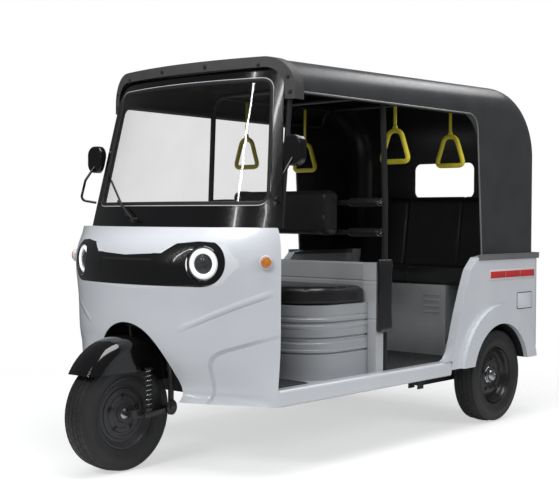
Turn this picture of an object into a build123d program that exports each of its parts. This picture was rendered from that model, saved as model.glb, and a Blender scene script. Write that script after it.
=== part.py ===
"""Three-wheeled auto rickshaw: build123d model, millimetres, +Z up, front faces -Y, left side at +X.

The origin is on the ground, under the centre of the overall length and width.
"""
import os
from math import atan2, cos, degrees, radians, sin, sqrt, tan

from build123d import *

os.makedirs("parts", exist_ok=True)

# ---------------------------------------------------------------- driving dimensions
seat_gap = 0.3              # clearance between a piece and what carries it
overall_reach = 1419        # front and rear limit of the vehicle from the origin

# wheels
tyre_radius = 250
tyre_width = 118
rim_radius = 152
rim_width = 96
front_axle_y = overall_reach * -1 + tyre_radius
rear_axle_y = 972
rear_track_half = 560
axle_z = tyre_radius
bearing_clearance = 0.05    # radial running clearance of every bearing
axle_pin_radius = 10
hub_radius = 34

# body envelope
body_half_width = 655
body_rear_y = 1400
body_corner_radius = 80
skin = 3
sill_bottom_z = 302
sill_top_z = 375
sill_width = 52
floor_top_z = 360
floor_thickness = 4
belt_z = 905                # top of the silver lower body behind the doors
cowl_rear_y = -845          # door edge of the front cowl
cowl_top_z = 1055

# roof
roof_front_z = 1790
roof_rear_z = 1815
roof_rear_radius = 375
roof_centre_half_width = 604
roof_taper = 0.0315         # growth of the half width per unit of length to the rear
roof_edge_radius = 135
roof_wall = 6
eave_z = 1645
door_rear_top_y = 738
door_rear_low_y = 790
door_corner_radius = 180

# front glass and cap
screen_base_half = 619
screen_base_y = -806
screen_base_bow = 119
screen_top_half = 530
screen_top_y = -688
screen_top_bow = 92
screen_top_z = 1735
surround_wall = 5
cap_band = 46
cap_return = 57
cap_proud = 6
cap_flange = 10
cap_bottom_z = 1610
frame_tube = 28             # outside diameter of the cabin's tubes

# steering
steer_rake = 27
steer_head_y = -1000
steer_head_z = 620

# ---------------------------------------------------------------- nose and cowl
# plan outline of the nose at each height: half width, nose tip y, cheek x and cheek y
cowl_rows = [
    dict(height=sill_bottom_z, half_width=640, nose_y=-1060, cheek_x=400, cheek_y=-962),
    dict(height=480, half_width=650, nose_y=-1095, cheek_x=400, cheek_y=-1002),
    dict(height=670, half_width=body_half_width, nose_y=-1126, cheek_x=400, cheek_y=-1036),
    dict(height=830, half_width=body_half_width, nose_y=-1136, cheek_x=400, cheek_y=-1052),
    dict(height=940, half_width=body_half_width, nose_y=-1130, cheek_x=400, cheek_y=-1048),
    dict(height=1005, half_width=650, nose_y=-1090, cheek_x=400, cheek_y=-1012),
    dict(height=cowl_top_z, half_width=636, nose_y=-1025, cheek_x=400, cheek_y=-958),
]
arch_radius = 217
arch_centre_z = 423
arch_foot_half = 246
liner_half = 288
liner_front_y = -1100
liner_rear_y = -815
liner_top_z = 692
liner_corner = 90


def cowl_form(inset, rear_extra=0, bottom_extra=0):
    """Solid inside the nose's outer surface, moved inwards by the inset."""
    with BuildPart() as form:
        for row in cowl_rows:
            rise, run = row["cheek_y"] - row["nose_y"], row["cheek_x"]
            radius = (run ** 2 + rise ** 2) / (2 * rise)
            centre_y = row["nose_y"] + radius
            shrink = (radius - inset) / radius
            cheek = (run * shrink, centre_y + (row["cheek_y"] - centre_y) * shrink)
            lean = run / radius
            height = row["height"]
            if row is cowl_rows[0]:
                height -= bottom_extra
            if row is cowl_rows[-1]:
                height -= inset
            side = row["half_width"] - inset
            door_edge = (side, cowl_rear_y)
            with BuildSketch(Plane.XY.offset(height)):
                with BuildLine():
                    ThreePointArc((-cheek[0], cheek[1]), (0, row["nose_y"] + inset), cheek)
                    TangentArc(cheek, door_edge, tangent=(sqrt(1 - lean ** 2), lean))
                    TangentArc((-cheek[0], cheek[1]), (-side, cowl_rear_y),
                               tangent=(-sqrt(1 - lean ** 2), lean))
                    if rear_extra:
                        Polyline(door_edge, (side, cowl_rear_y + rear_extra),
                                 (-side, cowl_rear_y + rear_extra), (-side, cowl_rear_y))
                    else:
                        Line(door_edge, (-side, cowl_rear_y))
                make_face()
        loft()
    return form.part


def front_arch(grow=0):
    """Front-view outline of the wheel opening, as a sketch with its heights along Y."""
    radius = arch_radius + grow
    with BuildSketch(mode=Mode.PRIVATE) as outline:
        with BuildLine():
            Polyline((radius, arch_centre_z), (arch_foot_half + grow, 200),
                     (-arch_foot_half - grow, 200), (-radius, arch_centre_z))
            ThreePointArc((-radius, arch_centre_z), (0, arch_centre_z + radius),
                          (radius, arch_centre_z))
        make_face()
    return outline.sketch


front_view = Plane((0, 0, 0), x_dir=(1, 0, 0), z_dir=(0, -1, 0))
side_view = Plane((0, 0, 0), x_dir=(0, 1, 0), z_dir=(1, 0, 0))

# headlamp band outline in the front view
band_half_width = 545
band_wall = 4
band_outline = [(0, 935), (160, 943), (250, 985), (345, 998), (470, 990), (band_half_width, 905),
                (470, 815), (380, 803), (0, 790)]
lamp_x = 391
lamp_z = 903
lamp_y = -1040
lamp_splay = 19
lamp_bezel_radius = 74
lamp_ring_radius = 58
lamp_lens_radius = 38


def band_face(grow=0):
    """Front-view outline of the black band that holds the headlamps."""
    half = [(x, z) for x, z in band_outline]
    mirrored = [(-x, z) for x, z in reversed(half[1:-1])]
    with BuildSketch(mode=Mode.PRIVATE) as outline:
        with BuildLine():
            Polyline(*half, *mirrored, close=True)
        make_face()
        fillet([v for v in outline.vertices() if abs(v.X) > 1], 22)
        if grow:
            offset(amount=grow)
    return outline.sketch


def lamp_plane(side):
    """Plane of a headlamp's rim, facing along the lamp's axis."""
    splay = radians(lamp_splay)
    return Plane((side * lamp_x, lamp_y, lamp_z), x_dir=(cos(splay), side * sin(splay), 0),
                 z_dir=(side * sin(splay), -cos(splay), 0))


# ---------------------------------------------------------------- front cowl, band, lamps
with BuildPart() as front_cowl:
    add(cowl_form(0))
    add(cowl_form(skin, rear_extra=12, bottom_extra=12), mode=Mode.SUBTRACT)
    with BuildSketch(front_view.offset(700)):
        add(front_arch())
    extrude(amount=600, mode=Mode.SUBTRACT)
    with BuildSketch(front_view.offset(850)):
        add(band_face(seat_gap))
    extrude(amount=400, mode=Mode.SUBTRACT)
front_cowl.part.label = "front_cowl"
export_step(front_cowl.part, "parts/front_cowl.step")

with BuildPart() as headlamp_band:
    add(cowl_form(0.5))
    add(cowl_form(0.5 + band_wall, rear_extra=12, bottom_extra=12), mode=Mode.SUBTRACT)
    with BuildSketch(front_view.offset(850)):
        add(band_face())
    extrude(amount=400, mode=Mode.INTERSECT)
    for side in (-1, 1):
        with BuildSketch(lamp_plane(side).offset(-120)):
            Circle(lamp_bezel_radius + seat_gap)
        extrude(amount=260, mode=Mode.SUBTRACT)
headlamp_band.part.label = "headlamp_band"
export_step(headlamp_band.part, "parts/headlamp_band.step")

lamp_depth = 62
lamp_wall = 4
ring_proud = 6
for side, name in ((-1, "headlamp_R"), (1, "headlamp_L")):
    with BuildPart() as headlamp:
        with BuildSketch(lamp_plane(side).offset(-lamp_depth)):
            Circle(lamp_bezel_radius)
        extrude(amount=lamp_depth + lamp_wall)
        with BuildSketch(lamp_plane(side).offset(-lamp_depth / 4)):
            Circle(lamp_bezel_radius - lamp_wall)
        extrude(amount=lamp_depth, mode=Mode.SUBTRACT)
        with BuildSketch(lamp_plane(side).offset(-lamp_depth / 4)):
            Circle(lamp_ring_radius)
            Circle(lamp_lens_radius, mode=Mode.SUBTRACT)
        extrude(amount=lamp_depth / 4 + ring_proud)
        with BuildSketch(lamp_plane(side).offset(-lamp_depth / 4)):
            Circle(lamp_lens_radius)
        extrude(amount=lamp_depth / 4)
    headlamp.part.label = name
    export_step(headlamp.part, f"parts/{name}.step")

# ---------------------------------------------------------------- wheel opening liner
steer_axis = (0, sin(radians(steer_rake)), cos(radians(steer_rake)))


def steer_plane(along):
    """Plane square to the steering axis, at a distance up that axis from the head point."""
    return Plane((0, steer_head_y + along * steer_axis[1], steer_head_z + along * steer_axis[2]),
                 x_dir=(1, 0, 0), z_dir=steer_axis)


steerer_radius = 16
head_tube_radius = 29
head_tube_from = 12
head_tube_to = 170

with BuildPart() as arch_liner:
    with BuildSketch(Plane.XY.offset(sill_bottom_z)):
        with Locations((0, (liner_front_y + liner_rear_y) / 2)):
            Rectangle(2 * liner_half, liner_rear_y - liner_front_y)
    extrude(amount=liner_top_z - sill_bottom_z)
    fillet(arch_liner.edges().filter_by(Axis.Y).group_by(Axis.Z)[-1], liner_corner)
    with BuildSketch(front_view.offset(-liner_rear_y + skin)):
        with BuildLine():
            inner, low, high = liner_half - skin, sill_bottom_z - 10, liner_top_z - skin
            bend = liner_corner - skin
            Polyline((inner, high - bend), (inner, low), (-inner, low), (-inner, high - bend))
            RadiusArc((-inner, high - bend), (-inner + bend, high), bend)
            Line((-inner + bend, high), (inner - bend, high))
            RadiusArc((inner - bend, high), (inner, high - bend), bend)
        make_face()
    extrude(amount=600, mode=Mode.SUBTRACT)
    add(cowl_form(skin + seat_gap, rear_extra=60, bottom_extra=20), mode=Mode.INTERSECT)
    with BuildSketch(steer_plane(head_tube_from)):
        Circle(head_tube_radius + seat_gap)
    extrude(amount=140, mode=Mode.SUBTRACT)
arch_liner.part.label = "arch_liner"
export_step(arch_liner.part, "parts/arch_liner.step")

# ---------------------------------------------------------------- chassis
rail_half_gap = 300
rail_width = 50
rail_height = 44
rail_top_z = floor_top_z - floor_thickness - seat_gap
rail_front_y = -800
rail_rear_y = 1380
cross_member_ys = (-760, -420, 40, 1360)
arm_x = 430
arm_width = 44
arm_height = 40
arm_pivot_y = 480
arm_bush = 3
hanger_thickness = 6
hanger_low_z = 215
hanger_length = 50
neck_y = -772
neck_radius = 24
neck_top_z = 742

with BuildPart() as chassis_frame:
    for side in (-1, 1):
        with Locations((side * rail_half_gap, (rail_front_y + rail_rear_y) / 2,
                        rail_top_z - rail_height / 2)):
            Box(rail_width, rail_rear_y - rail_front_y, rail_height)
    for y in cross_member_ys:
        with Locations((0, y, rail_top_z - rail_height / 2)):
            Box(2 * rail_half_gap, 40, rail_height)
    with Locations((0, arm_pivot_y, rail_top_z - rail_height / 2)):
        Box(2 * (arm_x + arm_width / 2 + arm_bush + hanger_thickness), 40, rail_height)
    for side in (-1, 1):
        for cheek in (-1, 1):
            hanger_x = side * arm_x + cheek * (arm_width / 2 + arm_bush + hanger_thickness / 2)
            with Locations((hanger_x, arm_pivot_y, (hanger_low_z + rail_top_z - 20) / 2)):
                Box(hanger_thickness, hanger_length, rail_top_z - 20 - hanger_low_z)
    # neck: a tube from the front cross member up the bulkhead and forwards to the steering head
    with BuildLine(side_view):
        neck_rise = Line((neck_y, rail_top_z - rail_height / 2), (neck_y, neck_top_z - 60))
        RadiusArc((neck_y, neck_top_z - 60), (neck_y - 60, neck_top_z), -60)
        Line((neck_y - 60, neck_top_z), (neck_y - 150, neck_top_z))
    with BuildSketch(Plane((0, neck_y, rail_top_z - rail_height / 2))):
        Circle(neck_radius)
    sweep()
    with BuildSketch(steer_plane(head_tube_from)):
        Circle(head_tube_radius)
    extrude(amount=head_tube_to - head_tube_from)
    with BuildSketch(steer_plane(head_tube_from - 1)):
        Circle(steerer_radius + bearing_clearance)
    extrude(amount=head_tube_to - head_tube_from + 80, mode=Mode.SUBTRACT)
chassis_frame.part.label = "chassis_frame"
export_step(chassis_frame.part, "parts/chassis_frame.step")

floor_rear_y = 715
floor_tail_y = 1380
floor_tail_half = 455
quarter_front = [(470, sill_bottom_z + 30), (489, 426), (555, 620), (611, 754), (650, 835), (718, 895)]
sill_rear_y = quarter_front[0][0]
arch_y = 935
arch_z = 250
arch_inner_radius = 288
wheel_house_width = 186
wheel_house_outer_x = body_half_width - skin - seat_gap
wheel_house_inner_x = wheel_house_outer_x - wheel_house_width
# room in the floor and its mats for the front liner, the neck tube and the wheel houses
with BuildPart() as floor_cuts:
    with Locations((0, (cowl_rear_y + liner_rear_y) / 2 - 20, floor_top_z)):
        Box(2 * (liner_half + seat_gap), liner_rear_y - cowl_rear_y + 40 + 2 * seat_gap, 140)
    with Locations((0, neck_y, floor_top_z)):
        Cylinder(neck_radius + seat_gap, 100)
    for side in (-1, 1):
        cut_from = wheel_house_inner_x - seat_gap if side > 0 else -wheel_house_outer_x - 10
        with BuildSketch(side_view.offset(cut_from)):
            with Locations((arch_y, arch_z)):
                Circle(arch_inner_radius + skin + seat_gap)
        extrude(amount=wheel_house_width + 10 + seat_gap)

with BuildPart() as floor_pan:
    with Locations((0, (cowl_rear_y + floor_rear_y) / 2, floor_top_z - floor_thickness / 2)):
        Box(2 * (body_half_width - sill_width), floor_rear_y - cowl_rear_y, floor_thickness)
    with Locations((0, (floor_rear_y + floor_tail_y) / 2, floor_top_z - floor_thickness / 2)):
        Box(2 * floor_tail_half, floor_tail_y - floor_rear_y, floor_thickness)
    for side in (-1, 1):
        with Locations((side * (body_half_width - sill_width / 2 - 2),
                        (cowl_rear_y + sill_rear_y) / 2, (sill_bottom_z + sill_top_z) / 2)):
            Box(sill_width, sill_rear_y - cowl_rear_y - seat_gap * 2, sill_top_z - sill_bottom_z)
    fillet(floor_pan.edges().filter_by(Axis.Y).filter_by(
        lambda edge: abs(edge.center().X) > body_half_width - 8), 14)
    add(floor_cuts.part, mode=Mode.SUBTRACT)
floor_pan.part.label = "floor_pan"
export_step(floor_pan.part, "parts/floor_pan.step")

# ---------------------------------------------------------------- roof
roof_profile_front_y = -900
roof_low_z = belt_z + seat_gap


def roof_form(inset, low_z=roof_low_z):
    """Solid inside the roof's outer surface, moved inwards by the inset."""
    rear = body_rear_y - inset
    bend = roof_rear_radius - inset
    with BuildPart() as form:
        with BuildSketch(side_view.offset(-800)):
            with BuildLine():
                front = (roof_profile_front_y, roof_front_z - inset)
                crest = (rear - bend, roof_rear_z - inset)
                Line(front, crest)
                RadiusArc(crest, (rear, roof_rear_z - inset - bend), bend)
                Polyline((rear, roof_rear_z - inset - bend), (rear, low_z),
                         (roof_profile_front_y, low_z), front)
            make_face()
        extrude(amount=1600)
        with BuildSketch(Plane.XY.offset(low_z)):
            front_half = roof_centre_half_width + roof_taper * roof_profile_front_y - inset
            rear_half = roof_centre_half_width + roof_taper * body_rear_y - inset
            Polygon((-front_half, roof_profile_front_y), (front_half, roof_profile_front_y),
                    (rear_half, rear), (-rear_half, rear), align=None)
        extrude(amount=roof_rear_z, mode=Mode.INTERSECT)
        sides = [face for face in form.faces() if abs(face.normal_at().X) > 0.9]
        rims = [edge for face in sides for edge in face.edges()
                if edge.center().Z > low_z + 1 and edge.center().Y > roof_profile_front_y + 1]
        fillet(rims, roof_edge_radius - inset)
    return form.part


def bow_line(half, y, bow):
    """Plan arc of the front glass, from side to side through its foremost point."""
    return (-half, y), (0, y - bow), (half, y)


cap_half = 560


def bow_face(ahead, behind):
    """Plan face between the cap's bowed front line and that line moved to the rear."""
    with BuildSketch(mode=Mode.PRIVATE) as strip:
        with BuildLine():
            left, nose, right = bow_line(720, screen_top_y + 70, screen_top_bow + 70)
            ThreePointArc((left[0], left[1] - ahead), (0, nose[1] - ahead),
                          (right[0], right[1] - ahead))
            Line((right[0], right[1] - ahead), (right[0], right[1] + behind))
            ThreePointArc((right[0], right[1] + behind), (0, nose[1] + behind),
                          (left[0], left[1] + behind))
            Line((left[0], left[1] + behind), (left[0], left[1] - ahead))
        make_face()
    return strip.sketch


rear_window_half = 210
rear_window_low = 1225
rear_window_high = 1432
with BuildPart() as roof_shell:
    add(roof_form(0))
    add(roof_form(roof_wall, low_z=roof_low_z - 20), mode=Mode.SUBTRACT)
    # door openings, right across
    with BuildSketch(side_view.offset(-800)) as doorway:
        Polygon((roof_profile_front_y - 10, eave_z), (door_rear_top_y, eave_z),
                (door_rear_low_y, roof_low_z - 5), (roof_profile_front_y - 10, roof_low_z - 5),
                align=None)
        fillet(doorway.vertices().group_by(Axis.Y)[-1].sort_by(Axis.X)[-1], door_corner_radius)
    extrude(amount=1600, mode=Mode.SUBTRACT)
    with BuildSketch(front_view.offset(-body_rear_y - 100)):
        with Locations((0, (rear_window_low + rear_window_high) / 2)):
            RectangleRounded(2 * rear_window_half, rear_window_high - rear_window_low, 40)
    extrude(amount=200, mode=Mode.SUBTRACT)
    # front edge follows the bowed glass, just behind the cap's flange
    with BuildSketch(Plane.XY.offset(eave_z - 50)):
        add(bow_face(400, seat_gap))
    extrude(amount=400, mode=Mode.SUBTRACT)
roof_shell.part.label = "roof_shell"
export_step(roof_shell.part, "parts/roof_shell.step")

# the roof's front edge, let into the back of the cap
with BuildPart() as cap_seat:
    add(roof_form(-seat_gap))
    with BuildSketch(Plane.XY.offset(cap_bottom_z - 5)):
        add(bow_face(0, 400))
    extrude(amount=420, mode=Mode.INTERSECT)

with BuildPart() as roof_cap:
    add(roof_form(-cap_proud))
    with BuildSketch(Plane.XY.offset(cap_bottom_z)):
        add(bow_face(cap_flange, cap_return - cap_flange))
    extrude(amount=400, mode=Mode.INTERSECT)
    add(roof_form(cap_band - cap_proud), mode=Mode.SUBTRACT)
    add(cap_seat.part, mode=Mode.SUBTRACT)
roof_cap.part.label = "roof_cap"
export_step(roof_cap.part, "parts/roof_cap.step")

# ---------------------------------------------------------------- cabin tube frame
tube_clear = 18
tube_inset = roof_wall + frame_tube / 2 + tube_clear
rail_z = 1652
hoop_rows = [
    dict(name="front", y=-660, foot_half=0, foot_z=0),
    dict(name="post", y=-15, foot_half=584, foot_z=floor_top_z + seat_gap),
    dict(name="middle", y=520, foot_half=0, foot_z=0),
    dict(name="rear", y=960, foot_half=0, foot_z=0),
]
pillar_foot_half = 598
pillar_foot_y = screen_base_y + surround_wall + frame_tube / 2 + 4
pillar_top_y = -664
rail_end_y = 975
hoop_bend = 88


def tube_along(path_points, bend, diameter=frame_tube):
    """Round tube along straight runs joined by arcs."""
    with BuildPart() as tube:
        with BuildLine() as path:
            FilletPolyline(*path_points, radius=bend)
        with BuildSketch(Plane(origin=path.line @ 0, z_dir=path.line % 0)):
            Circle(diameter / 2)
        sweep()
    return tube.part


def tube_straight(start, end, diameter):
    """Round bar between two points."""
    with BuildPart() as bar:
        with BuildSketch(Plane(origin=start, z_dir=Vector(end) - Vector(start))):
            Circle(diameter / 2)
        extrude(amount=(Vector(end) - Vector(start)).length)
    return bar.part


def roof_half(y):
    """Half width of the cabin frame at a place along the roof."""
    return roof_centre_half_width + roof_taper * y - tube_inset


hoop_top_z = 1752
waist_z = 1190
grab_rail_x = 500
grab_rail_z = hoop_top_z - 8
grab_rail_diameter = 18
pillar_bend = 60
rail_tube = 25              # outside diameter of the pillars and side rails
frame_joint_y = hoop_rows[1]["y"] - frame_tube / 2 - seat_gap


def hoop(row):
    """Bent tube across the roof, down to the rails or to the floor."""
    y, half = row["y"], roof_half(row["y"])
    crown = [(-half, y, rail_z - 8), (-half, y, hoop_top_z), (half, y, hoop_top_z), (half, y, rail_z - 8)]
    if row["foot_half"]:
        foot = row["foot_half"]
        crown = [(-foot, y, row["foot_z"]), (-foot, y, waist_z), *crown, (foot, y, waist_z),
                 (foot, y, row["foot_z"])]
    return tube_along(crown, hoop_bend)


with BuildPart() as front_frame:
    add(hoop(hoop_rows[0]))
    for side in (-1, 1):
        add(tube_along([(side * pillar_foot_half, pillar_foot_y, cowl_top_z + seat_gap),
                        (side * roof_half(pillar_top_y), pillar_top_y, rail_z),
                        (side * roof_half(frame_joint_y), frame_joint_y - seat_gap, rail_z)],
                       pillar_bend, rail_tube))
front_frame.part.label = "front_frame"
export_step(front_frame.part, "parts/front_frame.step")

with BuildPart() as roof_frame:
    for row in hoop_rows[1:]:
        add(hoop(row))
    grab_from, grab_to = hoop_rows[1]["y"], hoop_rows[3]["y"]
    for side in (-1, 1):
        add(tube_straight((side * roof_half(frame_joint_y), frame_joint_y, rail_z),
                          (side * roof_half(rail_end_y), rail_end_y, rail_z), rail_tube))
        add(tube_straight((side * grab_rail_x, grab_from, grab_rail_z),
                          (side * grab_rail_x, grab_to, grab_rail_z), grab_rail_diameter))
roof_frame.part.label = "roof_frame"
export_step(roof_frame.part, "parts/roof_frame.step")

# ---------------------------------------------------------------- windscreen
surround_side = 44
surround_low = 106
surround_high = 40
screen_low_z = cowl_top_z + seat_gap
glass_thickness = 5


def screen_form(ahead, grow=0, low_z=screen_low_z, high_z=screen_top_z):
    """Solid behind the bowed and raked glass surface, moved forwards by a distance."""
    with BuildPart() as form:
        for z in (low_z, high_z):
            share = (z - screen_low_z) / (screen_top_z - screen_low_z)
            half = screen_base_half + (screen_top_half - screen_base_half) * share + grow
            y = screen_base_y + (screen_top_y - screen_base_y) * share - ahead
            bow = screen_base_bow + (screen_top_bow - screen_base_bow) * share
            radius = ((half - grow) ** 2 + bow ** 2) / (2 * bow)
            edge_y = y - bow + radius - sqrt(radius ** 2 - half ** 2)
            with BuildSketch(Plane.XY.offset(z)):
                with BuildLine():
                    ThreePointArc((-half, edge_y), (0, y - bow), (half, edge_y))
                    Polyline((half, edge_y), (half, y + 150), (-half, y + 150), (-half, edge_y))
                make_face()
        loft(ruled=True)
    return form.part


def screen_outline(grow=0):
    """Front-view outline of the whole windscreen, in from its edges by the growth."""
    with BuildSketch(mode=Mode.PRIVATE) as outline:
        Polygon((-screen_base_half - grow, screen_low_z), (screen_base_half + grow, screen_low_z),
                (screen_top_half + grow, screen_top_z), (-screen_top_half - grow, screen_top_z),
                align=None)
        fillet(outline.vertices().sort_by(Axis.Y)[-2:], 70)
    return outline.sketch


def daylight(grow=0):
    """Front-view outline of the opening that the glass closes."""
    low, high = screen_low_z + surround_low - grow, screen_top_z - surround_high + grow
    low_half = screen_base_half - surround_side - 17 + grow
    high_half = screen_top_half - surround_side + grow
    with BuildSketch(mode=Mode.PRIVATE) as outline:
        Polygon((-low_half, low), (low_half, low), (high_half, high), (-high_half, high),
                align=None)
        fillet(outline.vertices(), 48)
    return outline.sketch


with BuildPart() as windscreen_surround:
    add(screen_form(0))
    add(screen_form(-surround_wall, low_z=screen_low_z - 5, high_z=screen_top_z + 5),
        mode=Mode.SUBTRACT)
    with BuildSketch(front_view.offset(500)):
        add(screen_outline(-1))
        add(daylight(seat_gap), mode=Mode.SUBTRACT)
    extrude(amount=600, mode=Mode.INTERSECT)
windscreen_surround.part.label = "windscreen_surround"
export_step(windscreen_surround.part, "parts/windscreen_surround.step")

with BuildPart() as windscreen_glass:
    add(screen_form(0))
    add(screen_form(-glass_thickness, low_z=screen_low_z - 5, high_z=screen_top_z + 5),
        mode=Mode.SUBTRACT)
    with BuildSketch(front_view.offset(500)):
        add(daylight())
    extrude(amount=600, mode=Mode.INTERSECT)
windscreen_glass.part.label = "windscreen_glass"
export_step(windscreen_glass.part, "parts/windscreen_glass.step")

# ---------------------------------------------------------------- dashboard
dash_half = 560
dash_front_y = -930
dash_rear_y = -800
dash_low_z = 800
dash_top_z = 1040
column_room = 50
dash_wall = 4
with BuildPart() as dashboard:
    with BuildSketch(side_view.offset(-dash_half)):
        Polygon((dash_front_y, dash_top_z - 30), (dash_front_y, dash_low_z + 90),
                (dash_rear_y - 30, dash_low_z), (dash_rear_y, dash_low_z + 30),
                (dash_rear_y, dash_top_z), (dash_front_y + 30, dash_top_z), align=None)
    extrude(amount=2 * dash_half)
    with BuildSketch(side_view.offset(-dash_half + dash_wall)):
        Polygon((dash_front_y - 5, dash_top_z - 30), (dash_front_y - 5, dash_low_z + 90),
                (dash_rear_y - 30, dash_low_z + dash_wall), (dash_rear_y - dash_wall, dash_low_z + 30),
                (dash_rear_y - dash_wall, dash_top_z - dash_wall), (dash_front_y + 30, dash_top_z - dash_wall),
                align=None)
    extrude(amount=2 * (dash_half - dash_wall), mode=Mode.SUBTRACT)
    # slot for the steering column, which climbs to the rear
    column_lean = tan(radians(steer_rake))
    slot_y = steer_head_y - column_room
    with BuildSketch(side_view.offset(-column_room)):
        Polygon((dash_front_y - 5, dash_low_z - 5),
                (dash_front_y - 5, steer_head_z + (dash_front_y - 5 - slot_y) / column_lean),
                (slot_y + (dash_top_z + 5 - steer_head_z) * column_lean, dash_top_z + 5),
                (dash_rear_y + 5, dash_top_z + 5), (dash_rear_y + 5, dash_low_z - 5), align=None)
    extrude(amount=2 * column_room, mode=Mode.SUBTRACT)
    add(cowl_form(skin + seat_gap, rear_extra=120), mode=Mode.INTERSECT)
dashboard.part.label = "dashboard"
export_step(dashboard.part, "parts/dashboard.step")

# ---------------------------------------------------------------- mirrors and indicators
stalk_diameter = 12
mirror_x = 648
mirror_y = -757
mirror_z = 1383
mirror_width = 108
mirror_height = 132
mirror_depth = 34
mirror_foot = (590, -805, 1168)
for side, name in ((-1, "mirror_R"), (1, "mirror_L")):
    with BuildPart() as mirror:
        foot_x, foot_y, foot_z = mirror_foot
        with BuildSketch(Plane((side * mirror_x, mirror_y + mirror_depth / 2, mirror_z),
                               x_dir=(1, 0, 0), z_dir=(0, -1, 0))):
            RectangleRounded(mirror_width, mirror_height, mirror_width * 0.42)
        extrude(amount=mirror_depth)
        fillet(mirror.faces().sort_by(Axis.Y)[0].edges(), 12)
        add(tube_along([(side * foot_x, foot_y, foot_z),
                        (side * (foot_x + 46), foot_y - 60, foot_z + 12),
                        (side * mirror_x, mirror_y - 70, foot_z + 110),
                        (side * mirror_x, mirror_y, mirror_z - 20)], 24, stalk_diameter))
        add(screen_form(seat_gap, grow=60), mode=Mode.SUBTRACT)
    mirror.part.label = name
    export_step(mirror.part, f"parts/{name}.step")

indicator_x = 622
indicator_y = -905
indicator_z = 912
indicator_radius = 24
indicator_depth = 22
indicator_splay = 62
for side, name in ((-1, "indicator_R"), (1, "indicator_L")):
    splay = radians(indicator_splay)
    lamp_face = Plane((side * indicator_x, indicator_y, indicator_z),
                      x_dir=(cos(splay), side * sin(splay), 0),
                      z_dir=(side * sin(splay), -cos(splay), 0))
    with BuildPart() as indicator:
        with BuildSketch(lamp_face.offset(-12)):
            Circle(indicator_radius)
        extrude(amount=indicator_depth + 12)
        fillet(indicator.faces().sort_by(Axis((0, 0, 0), lamp_face.z_dir))[-1].edges(), 8)
        add(cowl_form(-seat_gap, rear_extra=40), mode=Mode.SUBTRACT)
    indicator.part.label = name
    export_step(indicator.part, f"parts/{name}.step")

# ---------------------------------------------------------------- wiper
wiper_ride = 16
wiper_pivot = (-172, 1085)
wiper_tip = (-462, 1275)
wiper_middle = (-330, 1172)


def screen_y(x, z, ahead):
    """Depth of the glass surface at a front-view point, moved forwards by a distance."""
    share = (z - screen_low_z) / (screen_top_z - screen_low_z)
    half = screen_base_half + (screen_top_half - screen_base_half) * share
    bow = screen_base_bow + (screen_top_bow - screen_base_bow) * share
    sill = screen_base_y + (screen_top_y - screen_base_y) * share
    radius = (half ** 2 + bow ** 2) / (2 * bow)
    return sill - bow + radius - sqrt(radius ** 2 - x ** 2) - ahead


with BuildPart() as wiper:
    blade_low = (wiper_middle[0] + 118, wiper_middle[1] - 130)
    points = [(x, screen_y(x, z, wiper_ride / 2), z) for x, z in
              (wiper_tip, wiper_middle, (wiper_middle[0] + 85, wiper_middle[1] - 72))]
    for start, end in zip(points[:-1], points[1:]):
        with BuildLine() as blade_run:
            Line(start, end)
        with BuildSketch(Plane(origin=blade_run.line @ 0, z_dir=blade_run.line % 0)):
            Circle(5)
        sweep()
    with Locations(points[1]):
        Sphere(5)
    pivot_point = (wiper_pivot[0], screen_y(*wiper_pivot, 26), wiper_pivot[1])
    elbow = (wiper_middle[0], screen_y(*wiper_middle, 18), wiper_middle[1])
    with BuildLine() as arm_run:
        Line(pivot_point, elbow)
    with BuildSketch(Plane(origin=arm_run.line @ 0, z_dir=arm_run.line % 0)):
        Circle(5)
    sweep()
    with Locations(elbow):
        Sphere(7)
    with BuildSketch(Plane(pivot_point, x_dir=(1, 0, 0), z_dir=(0, -1, 0)).offset(-24)):
        Circle(11)
    extrude(amount=30)
    add(screen_form(seat_gap, grow=60), mode=Mode.SUBTRACT)
wiper.part.label = "wiper"
export_step(wiper.part, "parts/wiper.step")

# ---------------------------------------------------------------- partition and driver's seat
wall_front_y = -78
wall_rear_y = -46
wall_half = 600
wall_top_z = 888
wall_post_width = 78
wall_post_front_y = -104
panel = 4
with BuildPart() as partition:
    with Locations((0, (wall_front_y + wall_rear_y) / 2, (floor_top_z + seat_gap + wall_top_z) / 2)):
        Box(2 * wall_half, wall_rear_y - wall_front_y, wall_top_z - floor_top_z - seat_gap)
    fillet(partition.edges().filter_by(Axis.X).group_by(Axis.Z)[-1], 10)
    with Locations((0, wall_rear_y, (floor_top_z + wall_top_z) / 2 - panel * 2)):
        Box(2 * wall_half - 2 * wall_post_width, 2 * (wall_rear_y - wall_front_y - panel),
            wall_top_z - floor_top_z - panel * 2, mode=Mode.SUBTRACT)
    for side in (-1, 1):
        with Locations((side * (wall_half - wall_post_width / 2),
                        (wall_post_front_y + wall_rear_y) / 2,
                        (floor_top_z + seat_gap + wall_top_z) / 2)):
            Box(wall_post_width, wall_rear_y - wall_post_front_y,
                wall_top_z - floor_top_z - seat_gap)
partition.part.label = "partition"
export_step(partition.part, "parts/partition.step")

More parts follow.
